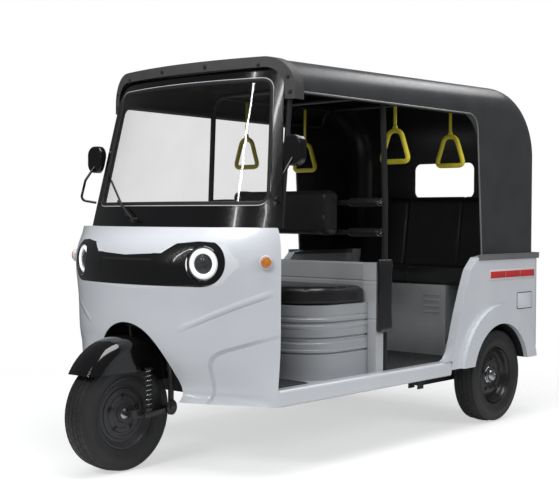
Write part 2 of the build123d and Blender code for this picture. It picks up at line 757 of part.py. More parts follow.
post_y = hoop_rows[1]["y"]
post_x = hoop_rows[1]["foot_half"]
bar_diameter = 25
bar_zs = (1030, 1175)
back_half = 340
back_thickness = 88
back_low_z = 1000
back_high_z = 1250
back_rear_y = post_y - bar_diameter / 2 - 8
with BuildPart() as partition_bars:
    bar_half = post_x - frame_tube / 2 - seat_gap
    for z in bar_zs:
        with BuildSketch(side_view.offset(-bar_half)):
            with Locations((post_y, z)):
                Circle(bar_diameter / 2)
        extrude(amount=2 * bar_half)
    for side in (-1, 1):
        with Locations((side * back_half * 0.7, (post_y + back_rear_y + seat_gap) / 2,
                        (bar_zs[0] + bar_zs[1]) / 2)):
            Box(40, post_y - back_rear_y - seat_gap, bar_zs[1] - bar_zs[0] + bar_diameter)
partition_bars.part.label = "partition_bars"
export_step(partition_bars.part, "parts/partition_bars.step")

with BuildPart() as driver_backrest:
    with Locations((0, back_rear_y - back_thickness / 2, (back_low_z + back_high_z) / 2)):
        Box(2 * back_half, back_thickness, back_high_z - back_low_z)
    fillet(driver_backrest.edges().filter_by(Axis.Y), 40)
    fillet(driver_backrest.faces().sort_by(Axis.Y)[0].edges(), 24)
driver_backrest.part.label = "driver_backrest"
export_step(driver_backrest.part, "parts/driver_backrest.step")

seat_half = 552
seat_front_y = -520
seat_rear_y = wall_post_front_y - seat_gap
seat_corner = 210
seat_base_top_z = 700
seat_wall = 4
cushion_height = 80


def driver_seat_plan(grow=0):
    """Plan of the driver's seat, with broad round front corners."""
    with BuildSketch(mode=Mode.PRIVATE) as plan:
        Polygon((-seat_half, seat_rear_y), (-seat_half, seat_front_y), (seat_half, seat_front_y),
                (seat_half, seat_rear_y), align=None)
        fillet(plan.vertices().sort_by(Axis.Y)[:2], seat_corner)
        if grow:
            offset(amount=grow)
    return plan.sketch


groove_zs = (478, 548, 618)
groove_size = 8
with BuildPart() as seat_base:
    with BuildSketch(Plane.XY.offset(floor_top_z + seat_gap)):
        add(driver_seat_plan())
    extrude(amount=seat_base_top_z - floor_top_z - seat_gap)
    with BuildSketch(Plane.XY.offset(floor_top_z - 5)):
        add(driver_seat_plan(-seat_wall - groove_size))
    extrude(amount=seat_base_top_z - floor_top_z - seat_wall + 5, mode=Mode.SUBTRACT)
    for z in groove_zs:
        with BuildSketch(Plane.XY.offset(z)):
            add(driver_seat_plan(20))
            add(driver_seat_plan(-groove_size), mode=Mode.SUBTRACT)
        extrude(amount=groove_size, mode=Mode.SUBTRACT)
seat_base.part.label = "seat_base"
export_step(seat_base.part, "parts/seat_base.step")

with BuildPart() as seat_cushion:
    with BuildSketch(Plane.XY.offset(seat_base_top_z + seat_gap)):
        add(driver_seat_plan(-3))
    extrude(amount=cushion_height)
    fillet(seat_cushion.faces().sort_by(Axis.Z)[-1].edges(), 26)
seat_cushion.part.label = "seat_cushion"
export_step(seat_cushion.part, "parts/seat_cushion.step")

pad_low_z = 550
pad_high_z = 916
pad_thickness = 32
for side, name in ((-1, "post_pad_R"), (1, "post_pad_L")):
    with BuildPart() as post_pad:
        pad_x = wall_half + seat_gap + pad_thickness / 2
        with Locations((side * pad_x, (wall_post_front_y + post_y + frame_tube / 2) / 2 - 6,
                        (pad_low_z + pad_high_z) / 2)):
            Box(pad_thickness, post_y + frame_tube / 2 - wall_post_front_y + 16, pad_high_z - pad_low_z)
        fillet(post_pad.edges(), 10)
    post_pad.part.label = name
    export_step(post_pad.part, f"parts/{name}.step")

# ---------------------------------------------------------------- rear body
flare_outer_radius = 388
flare_proud = 22
quarter_low_z = 332
quarter_split_x = 520
jamb_depth = 50


def tub_form(inset, low_extra=0):
    """Solid inside the silver rear body, moved inwards by the inset."""
    with BuildPart() as form:
        with BuildSketch(Plane.XY.offset(quarter_low_z - low_extra)) as plan:
            half, rear = body_half_width - inset, body_rear_y - inset
            Polygon((-half, 380), (half, 380), (half, rear), (-half, rear), align=None)
            fillet(plan.vertices().sort_by(Axis.Y)[-2:], body_corner_radius - inset)
        extrude(amount=belt_z - quarter_low_z + 2 * low_extra)
    return form.part


def quarter_side(grow=0):
    """Side-view outline of the rear quarter, with its front edge swept back to the belt."""
    with BuildSketch(mode=Mode.PRIVATE) as outline:
        with BuildLine():
            Polyline(*quarter_front, (800, belt_z), (body_rear_y + 60, belt_z),
                     (body_rear_y + 60, quarter_low_z), (quarter_front[0][0], quarter_low_z),
                     close=True)
        make_face()
        fillet(outline.vertices().sort_by(Axis.X)[1:6], 18)
        if grow:
            offset(amount=grow)
    return outline.sketch


for side, name in ((-1, "rear_quarter_R"), (1, "rear_quarter_L")):
    with BuildPart() as rear_quarter:
        add(tub_form(0))
        add(tub_form(skin, low_extra=10), mode=Mode.SUBTRACT)
        with BuildSketch(side_view.offset(side * quarter_split_x if side > 0 else -800)):
            add(quarter_side())
        extrude(amount=800 - quarter_split_x, mode=Mode.INTERSECT)
        # returned edge along the front of the panel
        with BuildSketch(side_view.offset(body_half_width - jamb_depth if side > 0
                                          else -body_half_width + 0.5)):
            with BuildLine():
                Polyline(*quarter_front, (800, belt_z))
                offset(amount=skin, side=Side.RIGHT)
            make_face()
        extrude(amount=jamb_depth - 0.5)
        # flare round the wheel
        with BuildSketch(side_view.offset(body_half_width - 1 if side > 0
                                          else -body_half_width - flare_proud)):
            with Locations((arch_y, arch_z)):
                Circle(flare_outer_radius)
            with Locations((arch_y, quarter_low_z - 300)):
                Rectangle(1200, 600, mode=Mode.SUBTRACT)
        extrude(amount=flare_proud + 1, taper=0)
        with BuildSketch(side_view.offset(-800)):
            with Locations((arch_y, arch_z)):
                Circle(arch_inner_radius)
        extrude(amount=1600, mode=Mode.SUBTRACT)
    rear_quarter.part.label = name
    export_step(rear_quarter.part, f"parts/{name}.step")

tail_lamp_height = 210
tail_lamp_width = 62
tail_lamp_z = 700
tail_x = quarter_split_x - seat_gap
plate_hole_z = 560
plate_hole_pitch = 200
plate_hole_radius = 3.3
with BuildPart() as rear_panel:
    with Locations((0, body_rear_y - skin / 2, (quarter_low_z + belt_z) / 2)):
        Box(2 * tail_x, skin, belt_z - quarter_low_z)
    with BuildSketch(front_view.offset(-body_rear_y - 5)):
        with Locations((0, 560)):
            RectangleRounded(560, 300, 30)
    extrude(amount=5 + 1)
    # the two screw holes of a number plate
    with BuildSketch(front_view.offset(-body_rear_y - 20)):
        with Locations((0, plate_hole_z)):
            with GridLocations(plate_hole_pitch, 0, 2, 1):
                Circle(plate_hole_radius)
    extrude(amount=40, mode=Mode.SUBTRACT)
rear_panel.part.label = "rear_panel"
export_step(rear_panel.part, "parts/rear_panel.step")

for side, name in ((-1, "tail_lamp_R"), (1, "tail_lamp_L")):
    with BuildPart() as tail_lamp:
        with BuildSketch(front_view.offset(-body_rear_y - 14)):
            with Locations((side * 545, tail_lamp_z)):
                RectangleRounded(tail_lamp_width, tail_lamp_height, 18)
        extrude(amount=14 - seat_gap)
        fillet(tail_lamp.faces().sort_by(Axis.Y)[-1].edges(), 6)
    tail_lamp.part.label = name
    export_step(tail_lamp.part, f"parts/{name}.step")

bumper_height = 60
bumper_z = 380
tow_hole_radius = 5
with BuildPart() as rear_bumper:
    with Locations((0, (body_rear_y + seat_gap + overall_reach) / 2, bumper_z)):
        Box(1040, overall_reach - body_rear_y - seat_gap, bumper_height)
    fillet(rear_bumper.edges().filter_by(Axis.Z), 6)
    with BuildSketch(Plane.XY.offset(bumper_z - bumper_height / 2 - 1)):
        with Locations((0, (body_rear_y + seat_gap + overall_reach) / 2)):
            Circle(tow_hole_radius)
    extrude(amount=bumper_height + 2, mode=Mode.SUBTRACT)
rear_bumper.part.label = "rear_bumper"
export_step(rear_bumper.part, "parts/rear_bumper.step")

for side, name in ((-1, "wheel_house_R"), (1, "wheel_house_L")):
    with BuildPart() as wheel_house:
        start = wheel_house_inner_x if side > 0 else -wheel_house_outer_x
        with BuildSketch(side_view.offset(start)):
            with Locations((arch_y, arch_z)):
                Circle(arch_inner_radius + skin)
            with Locations((arch_y, quarter_low_z - 300)):
                Rectangle(1200, 600, mode=Mode.SUBTRACT)
        extrude(amount=wheel_house_width)
        with BuildSketch(side_view.offset(start + (skin if side > 0 else -1))):
            with Locations((arch_y, arch_z)):
                Circle(arch_inner_radius)
        extrude(amount=wheel_house_width - skin + 1, mode=Mode.SUBTRACT)
    wheel_house.part.label = name
    export_step(wheel_house.part, f"parts/{name}.step")

# ---------------------------------------------------------------- rear seat
rear_base_front_y = 715
rear_base_half = 455
rear_base_top_z = 742
rear_cushion_half = 572
rear_cushion_height = 84
rear_cushion_rear_y = 1230
vent_size = (150, 12)
with BuildPart() as rear_seat_base:
    base_depth = floor_tail_y - rear_base_front_y
    base_low = floor_top_z + seat_gap
    with Locations((0, rear_base_front_y + base_depth / 2, (base_low + rear_base_top_z) / 2)):
        Box(2 * rear_base_half, base_depth, rear_base_top_z - base_low)
    with Locations((0, rear_base_front_y + base_depth / 2, (base_low + rear_base_top_z) / 2 - panel)):
        Box(2 * (rear_base_half - panel), base_depth - 2 * panel, rear_base_top_z - base_low,
            mode=Mode.SUBTRACT)
    with Locations((0, rear_base_front_y, 640)):
        with GridLocations(0, 28, 1, 4):
            Box(vent_size[0], 4 * panel, vent_size[1], mode=Mode.SUBTRACT)
rear_seat_base.part.label = "rear_seat_base"
export_step(rear_seat_base.part, "parts/rear_seat_base.step")

with BuildPart() as rear_seat_cushion:
    with Locations((0, (rear_base_front_y - 12 + rear_cushion_rear_y) / 2,
                    rear_base_top_z + seat_gap + rear_cushion_height / 2)):
        Box(2 * rear_cushion_half, rear_cushion_rear_y - rear_base_front_y + 12, rear_cushion_height)
    fillet(rear_seat_cushion.edges().filter_by(Axis.X).group_by(Axis.Z)[-1], 24)
rear_seat_cushion.part.label = "rear_seat_cushion"
export_step(rear_seat_cushion.part, "parts/rear_seat_cushion.step")

back_foot_y = 1235
back_head_y = 1316
back_depth = 62
back_half_width = 560
back_base_z = rear_base_top_z + seat_gap
back_crest_z = 1252
with BuildPart() as rear_seat_back:
    with BuildSketch(side_view.offset(-back_half_width)):
        Polygon((back_foot_y, back_base_z), (back_foot_y + back_depth, back_base_z),
                (back_head_y + back_depth, back_crest_z), (back_head_y, back_crest_z), align=None)
    extrude(amount=2 * back_half_width)
    fillet(rear_seat_back.edges().filter_by(Axis.X).group_by(Axis.Z)[-1], 20)
rear_seat_back.part.label = "rear_seat_back"
export_step(rear_seat_back.part, "parts/rear_seat_back.step")

battery_size = (560, 330, 230)
with BuildPart() as battery_block:
    with Locations((0, 1000, floor_top_z + seat_gap + battery_size[2] / 2)):
        Box(*battery_size)
battery_block.part.label = "battery_block"
export_step(battery_block.part, "parts/battery_block.step")

mat_thickness = 5
mat_rows = [
    dict(name="front_mat", half=560, from_y=-800, to_y=seat_front_y - 15),
    dict(name="rear_mat", half=560, from_y=40, to_y=rear_base_front_y - 15),
]
for row in mat_rows:
    with BuildPart() as floor_mat:
        with BuildSketch(Plane.XY.offset(floor_top_z + seat_gap)):
            with Locations((0, (row["from_y"] + row["to_y"]) / 2)):
                RectangleRounded(2 * row["half"], row["to_y"] - row["from_y"], 30)
        extrude(amount=mat_thickness)
        add(floor_cuts.part, mode=Mode.SUBTRACT)
    floor_mat.part.label = row["name"]
    export_step(floor_mat.part, f"parts/{row['name']}.step")

# ---------------------------------------------------------------- grab handles
handle_bar = 15
handle_width = 176
handle_height = 168
handle_hang_z = 1534
strap_width = 20
strap_thickness = 5
handle_rows = [
    dict(name="grab_handle_L1", x=grab_rail_x, y=180),
    dict(name="grab_handle_L2", x=grab_rail_x, y=680),
    dict(name="grab_handle_R1", x=-grab_rail_x, y=180),
    dict(name="grab_handle_R2", x=-grab_rail_x, y=680),
]
for row in handle_rows:
    hang = Plane((row["x"], row["y"], handle_hang_z), x_dir=(1, 0, 0), z_dir=(0, -1, 0))
    with BuildPart() as grab_handle:
        with BuildSketch(hang.offset(-handle_bar / 2)):
            Polygon((0, 18), (-handle_width / 2, -handle_height), (handle_width / 2, -handle_height),
                    align=None)
        extrude(amount=handle_bar)
        fillet(grab_handle.edges().filter_by(Axis.Y), 16)
        with BuildSketch(hang.offset(-handle_bar / 2 - 1)):
            Polygon((0, -26), (-handle_width / 2 + 24, -handle_height + handle_bar),
                    (handle_width / 2 - 24, -handle_height + handle_bar), align=None)
        extrude(amount=handle_bar + 2, mode=Mode.SUBTRACT)
        strap_top_z = grab_rail_z - grab_rail_diameter / 2 - seat_gap
        with Locations((row["x"], row["y"], (handle_hang_z - 10 + strap_top_z) / 2)):
            Box(strap_width, strap_thickness, strap_top_z - handle_hang_z + 10)
    grab_handle.part.label = row["name"]
    export_step(grab_handle.part, f"parts/{row['name']}.step")

# ---------------------------------------------------------------- steering and front suspension
crown_from = -16
crown_to = head_tube_from - 1
crown_half = 112
leg_diameter = 26
leg_x = 110
link_pivot = (-958, 250)
link_x = 88
link_thickness = 10
link_height = 34
steerer_top = 540
fender_half = 92
fender_wall = 4
fender_boss_z = 432
with BuildPart() as steering_fork:
    with BuildSketch(steer_plane(crown_from)):
        RectangleRounded(2 * crown_half + leg_diameter, 56, 12)
    extrude(amount=crown_to - crown_from)
    with BuildSketch(steer_plane(crown_from)):
        Circle(steerer_radius)
    extrude(amount=steerer_top - crown_from)
    for side in (-1, 1):
        crown_point = steer_plane((crown_from + crown_to) / 2).origin
        add(tube_along([(side * leg_x, crown_point.Y, crown_point.Z),
                        (side * leg_x, link_pivot[0], 410),
                        (side * leg_x, link_pivot[0], link_pivot[1] - 22)], 60, leg_diameter))
    for side in (-1, 1):
        # boss that carries the mudguard's skirt
        with BuildSketch(side_view.offset(fender_half + seat_gap if side > 0 else -leg_x)):
            with Locations((link_pivot[0], fender_boss_z)):
                Circle(10)
        extrude(amount=leg_x - fender_half - seat_gap)
steering_fork.part.label = "steering_fork"
export_step(steering_fork.part, "parts/steering_fork.step")

grip_half = 300
grip_diameter = 32
bar_diameter_steer = 22
with BuildPart() as handlebar:
    bar_plane = steer_plane(steerer_top - 30)
    path_points = [bar_plane.from_local_coords(Vector(*point)) for point in
                   ((-grip_half, 105, 0), (-160, 70, 0), (-70, 0, 0), (70, 0, 0), (160, 70, 0),
                    (grip_half, 105, 0))]
    add(tube_along(path_points, 40, bar_diameter_steer))
    for end, inner in ((path_points[0], path_points[1]), (path_points[-1], path_points[-2])):
        grip_dir = (inner - end).normalized()
        with BuildSketch(Plane(origin=end, z_dir=grip_dir)):
            Circle(grip_diameter / 2)
        extrude(amount=110)
    with BuildSketch(bar_plane.offset(-24)):
        Circle(steerer_radius + 10)
    extrude(amount=48)
    with BuildSketch(bar_plane.offset(-25)):
        Circle(steerer_radius + seat_gap)
    extrude(amount=80, mode=Mode.SUBTRACT)
handlebar.part.label = "handlebar"
export_step(handlebar.part, "parts/handlebar.step")

pin_half = link_x + link_thickness / 2 + 8
pivot_pin_radius = 9
with BuildPart() as front_link:
    for side in (-1, 1):
        link_start = side * link_x - link_thickness / 2
        with BuildSketch(side_view.offset(link_start)):
            with Locations(((front_axle_y + link_pivot[0]) / 2, axle_z)):
                SlotCenterToCenter(link_pivot[0] - front_axle_y, link_height)
        extrude(amount=link_thickness)
        tab_y = front_axle_y + 75
        with Locations((side * (link_x + link_thickness / 2 + 12), tab_y, axle_z + 10)):
            Box(26, 30, 10)
    with BuildSketch(side_view.offset(-pin_half)):
        with Locations((front_axle_y, axle_z)):
            Circle(axle_pin_radius)
    extrude(amount=2 * pin_half)
    pin_reach = leg_x - leg_diameter / 2 - seat_gap
    for side in (-1, 1):
        with BuildSketch(side_view.offset(link_x if side > 0 else -pin_reach)):
            with Locations(link_pivot):
                Circle(pivot_pin_radius)
        extrude(amount=pin_reach - link_x)
front_link.part.label = "front_link"
export_step(front_link.part, "parts/front_link.step")

spring_radius = 19
spring_x = link_x + link_thickness / 2 + spring_radius + 2
spring_y = front_axle_y + 75
spring_top = (spring_y - 8, 446)
for side, name in ((-1, "front_spring_R"), (1, "front_spring_L")):
    with BuildPart() as front_spring:
        foot = Vector(side * spring_x, spring_y, axle_z + 15 + seat_gap)
        head = Vector(side * spring_x, spring_y, spring_top[1])
        with BuildSketch(Plane.XY.offset(foot.Z)):
            with Locations((foot.X, foot.Y)):
                Circle(spring_radius)
        extrude(amount=head.Z - foot.Z)
    front_spring.part.label = name
    export_step(front_spring.part, f"parts/{name}.step")

# mudguard: an arched hood over the tyre, with side skirts cut level
fender_centre = (-1151, 308)
fender_radius = 279
fender_shoulder_drop = 17
fender_shoulder = 46
fender_front_angle = 27.5
fender_rear_angle = 19
skirt_z = 432
rear_skirt_z = 386
rear_skirt_y = -1020


def fender_section(inset):
    """Section of the hood: across it, and out from the hood's own centre."""
    half = fender_half - inset
    low = fender_radius - fender_shoulder_drop - inset
    with BuildSketch(mode=Mode.PRIVATE) as section:
        Polygon((-half, 60), (-half, low), (0, fender_radius - inset), (half, low), (half, 60),
                align=None)
        fillet(section.vertices().group_by(Axis.Y)[1], fender_shoulder - inset)
        fillet(section.vertices().sort_by(Axis.Y)[-1], 200)
    return section.sketch


front_angle = radians(fender_front_angle)
fender_plane = Plane((0, fender_centre[0], fender_centre[1]), x_dir=(1, 0, 0),
                     z_dir=(0, -sin(front_angle), -cos(front_angle)))
with BuildPart() as mudguard:
    with BuildSketch(fender_plane):
        add(fender_section(0))
        add(fender_section(fender_wall), mode=Mode.SUBTRACT)
    revolve(axis=Axis((0, fender_centre[0], fender_centre[1]), (-1, 0, 0)),
            revolution_arc=180 - fender_front_angle - fender_rear_angle)
    with BuildSketch(side_view.offset(-300)):
        Polygon((-1600, 0), (-1600, skirt_z), (rear_skirt_y - 40, skirt_z),
                (rear_skirt_y, rear_skirt_z), (-700, rear_skirt_z), (-700, 0), align=None)
    extrude(amount=600, mode=Mode.SUBTRACT)
mudguard.part.label = "mudguard"
export_step(mudguard.part, "parts/mudguard.step")

# ---------------------------------------------------------------- wheels
tyre_rows = [(48, rim_radius + seat_gap), (56, 176), (tyre_width / 2, 204), (54, 228), (40, 243)]
wheel_rows = [
    dict(tag="F", x=0, y=front_axle_y, bore=axle_pin_radius, hub_half=58, side=1),
    dict(tag="RL", x=rear_track_half, y=rear_axle_y, bore=14, hub_half=44, side=1),
    dict(tag="RR", x=-rear_track_half, y=rear_axle_y, bore=14, hub_half=44, side=-1),
]
for row in wheel_rows:
    wheel_plane = Plane((row["x"], row["y"], axle_z), x_dir=(row["side"], 0, 0), z_dir=(0, -row["side"], 0))
    spin = Axis((row["x"], row["y"], axle_z), (1, 0, 0))
    with BuildPart() as tyre:
        with BuildSketch(wheel_plane):
            with BuildLine():
                Polyline(*tyre_rows)
                mirrored = [(-a, r) for a, r in tyre_rows]
                Polyline(*mirrored)
                ThreePointArc(tyre_rows[-1], (0, tyre_radius), mirrored[-1])
                Line(tyre_rows[0], mirrored[0])
            make_face()
        revolve(axis=spin)
    tyre.part.label = f"tyre_{row['tag']}"
    export_step(tyre.part, f"parts/tyre_{row['tag']}.step")

    half = rim_width / 2
    with BuildPart() as rim:
        with BuildSketch(wheel_plane):
            Polygon((-half, rim_radius), (half, rim_radius), (half, rim_radius - 5),
                    (-half, rim_radius - 5), align=None)
            Polygon((8, rim_radius - 3), (8 + 5, rim_radius - 3), (26, 108), (26, 78), (6, 68),
                    (6, hub_radius - 4), (0, hub_radius - 4), (0, 72), (20, 82), (20, 106), align=None)
            Polygon((-row["hub_half"] + 6, row["bore"] + bearing_clearance),
                    (row["hub_half"] - 6, row["bore"] + bearing_clearance),
                    (row["hub_half"] - 6, hub_radius), (-row["hub_half"] + 6, hub_radius), align=None)
        revolve(axis=spin)
    rim.part.label = f"rim_{row['tag']}"
    export_step(rim.part, f"parts/rim_{row['tag']}.step")

# ---------------------------------------------------------------- rear axle, arms and springs
axle_tube_radius = 32
axle_tube_half = 458
motor_radius = 88
motor_half = 150
stub_radius = 14
stub_half = rear_track_half + 30
with BuildPart() as rear_axle:
    with BuildSketch(side_view.offset(-axle_tube_half)):
        with Locations((rear_axle_y, axle_z)):
            Circle(axle_tube_radius)
    extrude(amount=2 * axle_tube_half)
    with BuildSketch(side_view.offset(-motor_half)):
        with Locations((rear_axle_y, axle_z)):
            Circle(motor_radius)
    extrude(amount=2 * motor_half)
    fillet(rear_axle.faces().filter_by(GeomType.CYLINDER).sort_by(SortBy.AREA)[-1].edges(), 20)
    with BuildSketch(side_view.offset(-stub_half)):
        with Locations((rear_axle_y, axle_z)):
            Circle(stub_radius)
    extrude(amount=2 * stub_half)
    for side in (-1, 1):
        with Locations((side * arm_x, (arm_pivot_y + rear_axle_y) / 2, axle_z)):
            Box(arm_width, rear_axle_y - arm_pivot_y, arm_height)
        with BuildSketch(side_view.offset(side * arm_x - arm_width / 2 - arm_bush + seat_gap)):
            with Locations((arm_pivot_y, axle_z)):
                Circle(arm_height / 2)
        extrude(amount=arm_width + 2 * (arm_bush - seat_gap))
rear_axle.part.label = "rear_axle"
export_step(rear_axle.part, "parts/rear_axle.step")

rear_spring_y = 760
rear_spring_radius = 30
for side, name in ((-1, "rear_spring_R"), (1, "rear_spring_L")):
    with BuildPart() as rear_spring:
        spring_foot = axle_z + arm_height / 2 + seat_gap
        with BuildSketch(Plane.XY.offset(spring_foot)):
            with Locations((side * arm_x * 0.98, rear_spring_y)):
                Circle(rear_spring_radius)
        extrude(amount=floor_top_z - floor_thickness - seat_gap - spring_foot)
    rear_spring.part.label = name
    export_step(rear_spring.part, f"parts/{name}.step")
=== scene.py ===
import bpy
import bmesh
from math import cos, pi, radians, sin, sqrt
from mathutils import Matrix, Vector


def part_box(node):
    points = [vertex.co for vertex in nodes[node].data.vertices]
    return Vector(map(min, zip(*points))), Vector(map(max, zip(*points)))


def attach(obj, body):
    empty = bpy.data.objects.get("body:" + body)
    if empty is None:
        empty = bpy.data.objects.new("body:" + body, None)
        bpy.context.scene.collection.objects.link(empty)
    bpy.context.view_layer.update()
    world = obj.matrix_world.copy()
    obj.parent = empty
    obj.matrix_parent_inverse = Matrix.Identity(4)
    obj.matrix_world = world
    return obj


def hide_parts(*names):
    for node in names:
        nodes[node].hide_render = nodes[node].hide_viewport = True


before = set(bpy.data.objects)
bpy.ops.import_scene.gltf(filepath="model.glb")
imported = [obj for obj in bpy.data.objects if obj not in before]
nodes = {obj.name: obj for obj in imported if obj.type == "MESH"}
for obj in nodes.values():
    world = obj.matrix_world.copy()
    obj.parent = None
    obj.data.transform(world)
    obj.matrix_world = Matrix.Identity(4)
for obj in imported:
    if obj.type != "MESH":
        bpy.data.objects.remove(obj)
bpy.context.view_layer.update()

cameraView = {"place": (3.6886, -4.3075, 1.0924), "target": (-0.1147, 0.02, 0.9519), "roll": 0.2643,
              "lens": 71.37}  # metres, degrees, millimetres


def addCamera(look):
    place, target = Vector(look["place"]), Vector(look["target"])
    forward = (target - place).normalized()
    right = forward.cross(Vector((0, 0, 1))).normalized()
    up = right.cross(forward)
    turn = radians(look["roll"])
    side = right * cos(turn) + up * sin(turn)
    top = up * cos(turn) - right * sin(turn)
    data = bpy.data.cameras.new("camera")
    data.lens, data.sensor_width, data.sensor_fit = look["lens"], 36, "HORIZONTAL"
    data.clip_start, data.clip_end = 0.05, 100
    camera = bpy.data.objects.new("camera", data)
    camera.matrix_world = Matrix.Translation(place) @ Matrix((side, top, -forward)).transposed().to_4x4()
    bpy.context.collection.objects.link(camera)
    bpy.context.scene.camera = camera


# shader toolkit: a socket with arithmetic, and a material under construction

class Wire:
    def __init__(self, tree, socket):
        self.tree, self.socket = tree, socket

    def calc(self, operation, *others):
        return self.tree.make("ShaderNodeMath", {"operation": operation},
                              {index: value for index, value in enumerate((self, *others))})

    def __add__(self, other):
        return self.calc("ADD", other)

    def __sub__(self, other):
        return self.calc("SUBTRACT", other)

    def __mul__(self, other):
        return self.calc("MULTIPLY", other)

    def __truediv__(self, other):
        return self.calc("DIVIDE", other)

    def __pow__(self, other):
        return self.calc("POWER", other)

    def __rsub__(self, other):
        return self.tree.make("ShaderNodeMath", {"operation": "SUBTRACT"}, {0: other, 1: self})

    def __rtruediv__(self, other):
        return self.tree.make("ShaderNodeMath", {"operation": "DIVIDE"}, {0: other, 1: self})

    __radd__, __rmul__ = __add__, __mul__

    def fit(self, fromLow, fromHigh, toLow=0.0, toHigh=1.0):  # clamped linear map
        sockets = {0: self, 1: fromLow, 2: fromHigh, 3: toLow, 4: toHigh}
        return self.tree.make("ShaderNodeMapRange", {}, sockets)


class Tree:
    def __init__(self, name):
        self.material = bpy.data.materials.new(name)
        self.material.use_nodes = True
        self.nodes, self.links = self.material.node_tree.nodes, self.material.node_tree.links
        self.nodes.clear()

    def plug(self, socket, value):
        if isinstance(value, Wire):
            self.links.new(value.socket, socket)
        elif isinstance(value, (tuple, list)) and len(value) == 3 and len(socket.default_value) == 4:
            socket.default_value = (*value, 1)
        else:
            socket.default_value = value

    def make(self, kind, settings, sockets, output=0):  # any node: its type, settings and inputs
        node = self.nodes.new(kind)
        for name, value in settings.items():
            setattr(node, name, value)
        for key, value in sockets.items():
            self.plug(node.inputs[key], value)
        return Wire(self, node.outputs[output]) if len(node.outputs) else node

    def place(self):
        return self.make("ShaderNodeTexCoord", {}, {}, "Object")

    def axis(self, index):
        return self.make("ShaderNodeSeparateXYZ", {}, {0: self.place()}, index)

    def normal(self, index):
        facing = self.make("ShaderNodeTexCoord", {}, {}, "Normal")
        return self.make("ShaderNodeSeparateXYZ", {}, {0: facing}, index)

    def noise(self, scale, detail=3.0):
        sockets = {"Vector": self.place(), "Scale": scale, "Detail": detail, "Roughness": 0.55}
        return self.make("ShaderNodeTexNoise", {}, sockets, 0)

    def cells(self, scale):
        return self.make("ShaderNodeTexVoronoi", {}, {"Vector": self.place(), "Scale": scale}, 0)

    def mix(self, factor, first, second):
        return self.make("ShaderNodeMix", {"data_type": "RGBA"}, {0: factor, 6: first, 7: second}, 2)

    def bump(self, height, strength, distance):
        sockets = {"Height": height, "Strength": strength, "Distance": distance}
        return self.make("ShaderNodeBump", {}, sockets, 0)

    def finish(self, **sockets):  # Principled surface, socket names in camel case
        names = {"base": "Base Color", "rough": "Roughness", "metal": "Metallic", "normal": "Normal",
                 "coat": "Coat Weight", "coatRough": "Coat Roughness", "alpha": "Alpha",
                 "glow": "Emission Color", "glowPower": "Emission Strength", "specular": "Specular IOR Level"}
        inputs = {names[key]: value for key, value in sockets.items()}
        shader = self.make("ShaderNodeBsdfPrincipled", {}, inputs)
        self.make("ShaderNodeOutputMaterial", {}, {"Surface": shader})
        return self.material


# pressed shapes of the cowl, metres and slopes
reliefLook = {"foot": 0.297, "edge": 0.355, "edgeLean": 0.191, "shoulder": 0.523, "shoulderFrom": 0.413,
              "shoulderDrop": 0.345, "corner": 0.09, "depth": 0.011, "crease": 0.628, "creaseFrom": 0.297,
              "creaseDrop": 0.458, "creaseHalf": 1 / 60, "creaseDepth": 0.007}


def cowlRelief(tree, look):  # pressed-in lower corners and the crease above them
    across, height = tree.axis(0).calc("ABSOLUTE"), tree.axis(2)
    lean, drop = look["edgeLean"], look["shoulderDrop"]
    inward = (across - (height - look["foot"]) * lean - look["edge"]) * (1 / sqrt(1 + lean ** 2))
    below = ((across - look["shoulderFrom"]) * drop + look["shoulder"] - height) * (1 / sqrt(1 + drop ** 2))
    recess = inward.calc("SMOOTH_MIN", below, look["corner"])
    recess = recess.fit(-0.004, 0.012) * -look["depth"] * across.fit(0.66, 0.56, 0.25, 1.0)
    fold = (across - look["creaseFrom"]) * look["creaseDrop"] + look["crease"] - height
    fold = fold * (1 / look["creaseHalf"])
    ridge = (fold * fold * -1 + 1.0).calc("MAXIMUM", 0.0)
    crease = ridge * across.fit(0.27, 0.36) * across.fit(0.64, 0.60)  # fades at both ends
    return recess + crease * look["creaseDepth"]


# black lamp band, metres
bandLook = {"lampX": 0.391, "lampZ": 0.903, "lampRadius": 0.097, "dipFrom": 0.205, "dipTo": 0.265,
            "dipTop": 0.945, "top": 0.987, "rise": 0.013, "low": 0.806, "lowLamp": 0.805,
            "sunkHalf": 0.20, "sunkFrom": 0.83, "sunkLean": 0.35, "sunkTop": 0.022, "sunkLow": 0.016}


def bandMask(tree, look):  # above 0 within the black part; second value is its recessed middle
    across, height = tree.axis(0).calc("ABSOLUTE"), tree.axis(2)
    away, rise = across - look["lampX"], height - look["lampZ"]
    lamp = (away * away + rise * rise).calc("SQRT") * -1 + look["lampRadius"]
    upper = across.fit(look["dipFrom"], look["dipTo"], look["dipTop"], look["top"])
    upper = upper + across.fit(look["dipTo"], look["lampX"], 0.0, look["rise"]) - height
    lower = height - across.fit(0.0, look["lampX"], look["low"], look["lowLamp"])
    middle = upper.calc("MINIMUM", lower).calc("MINIMUM", away * -1)
    inner = across * -1 + look["sunkHalf"] - (height - look["sunkFrom"]) * look["sunkLean"]
    inner = inner.calc("MINIMUM", upper - look["sunkTop"]).calc("MINIMUM", lower - look["sunkLow"])
    return lamp.calc("MAXIMUM", middle), inner


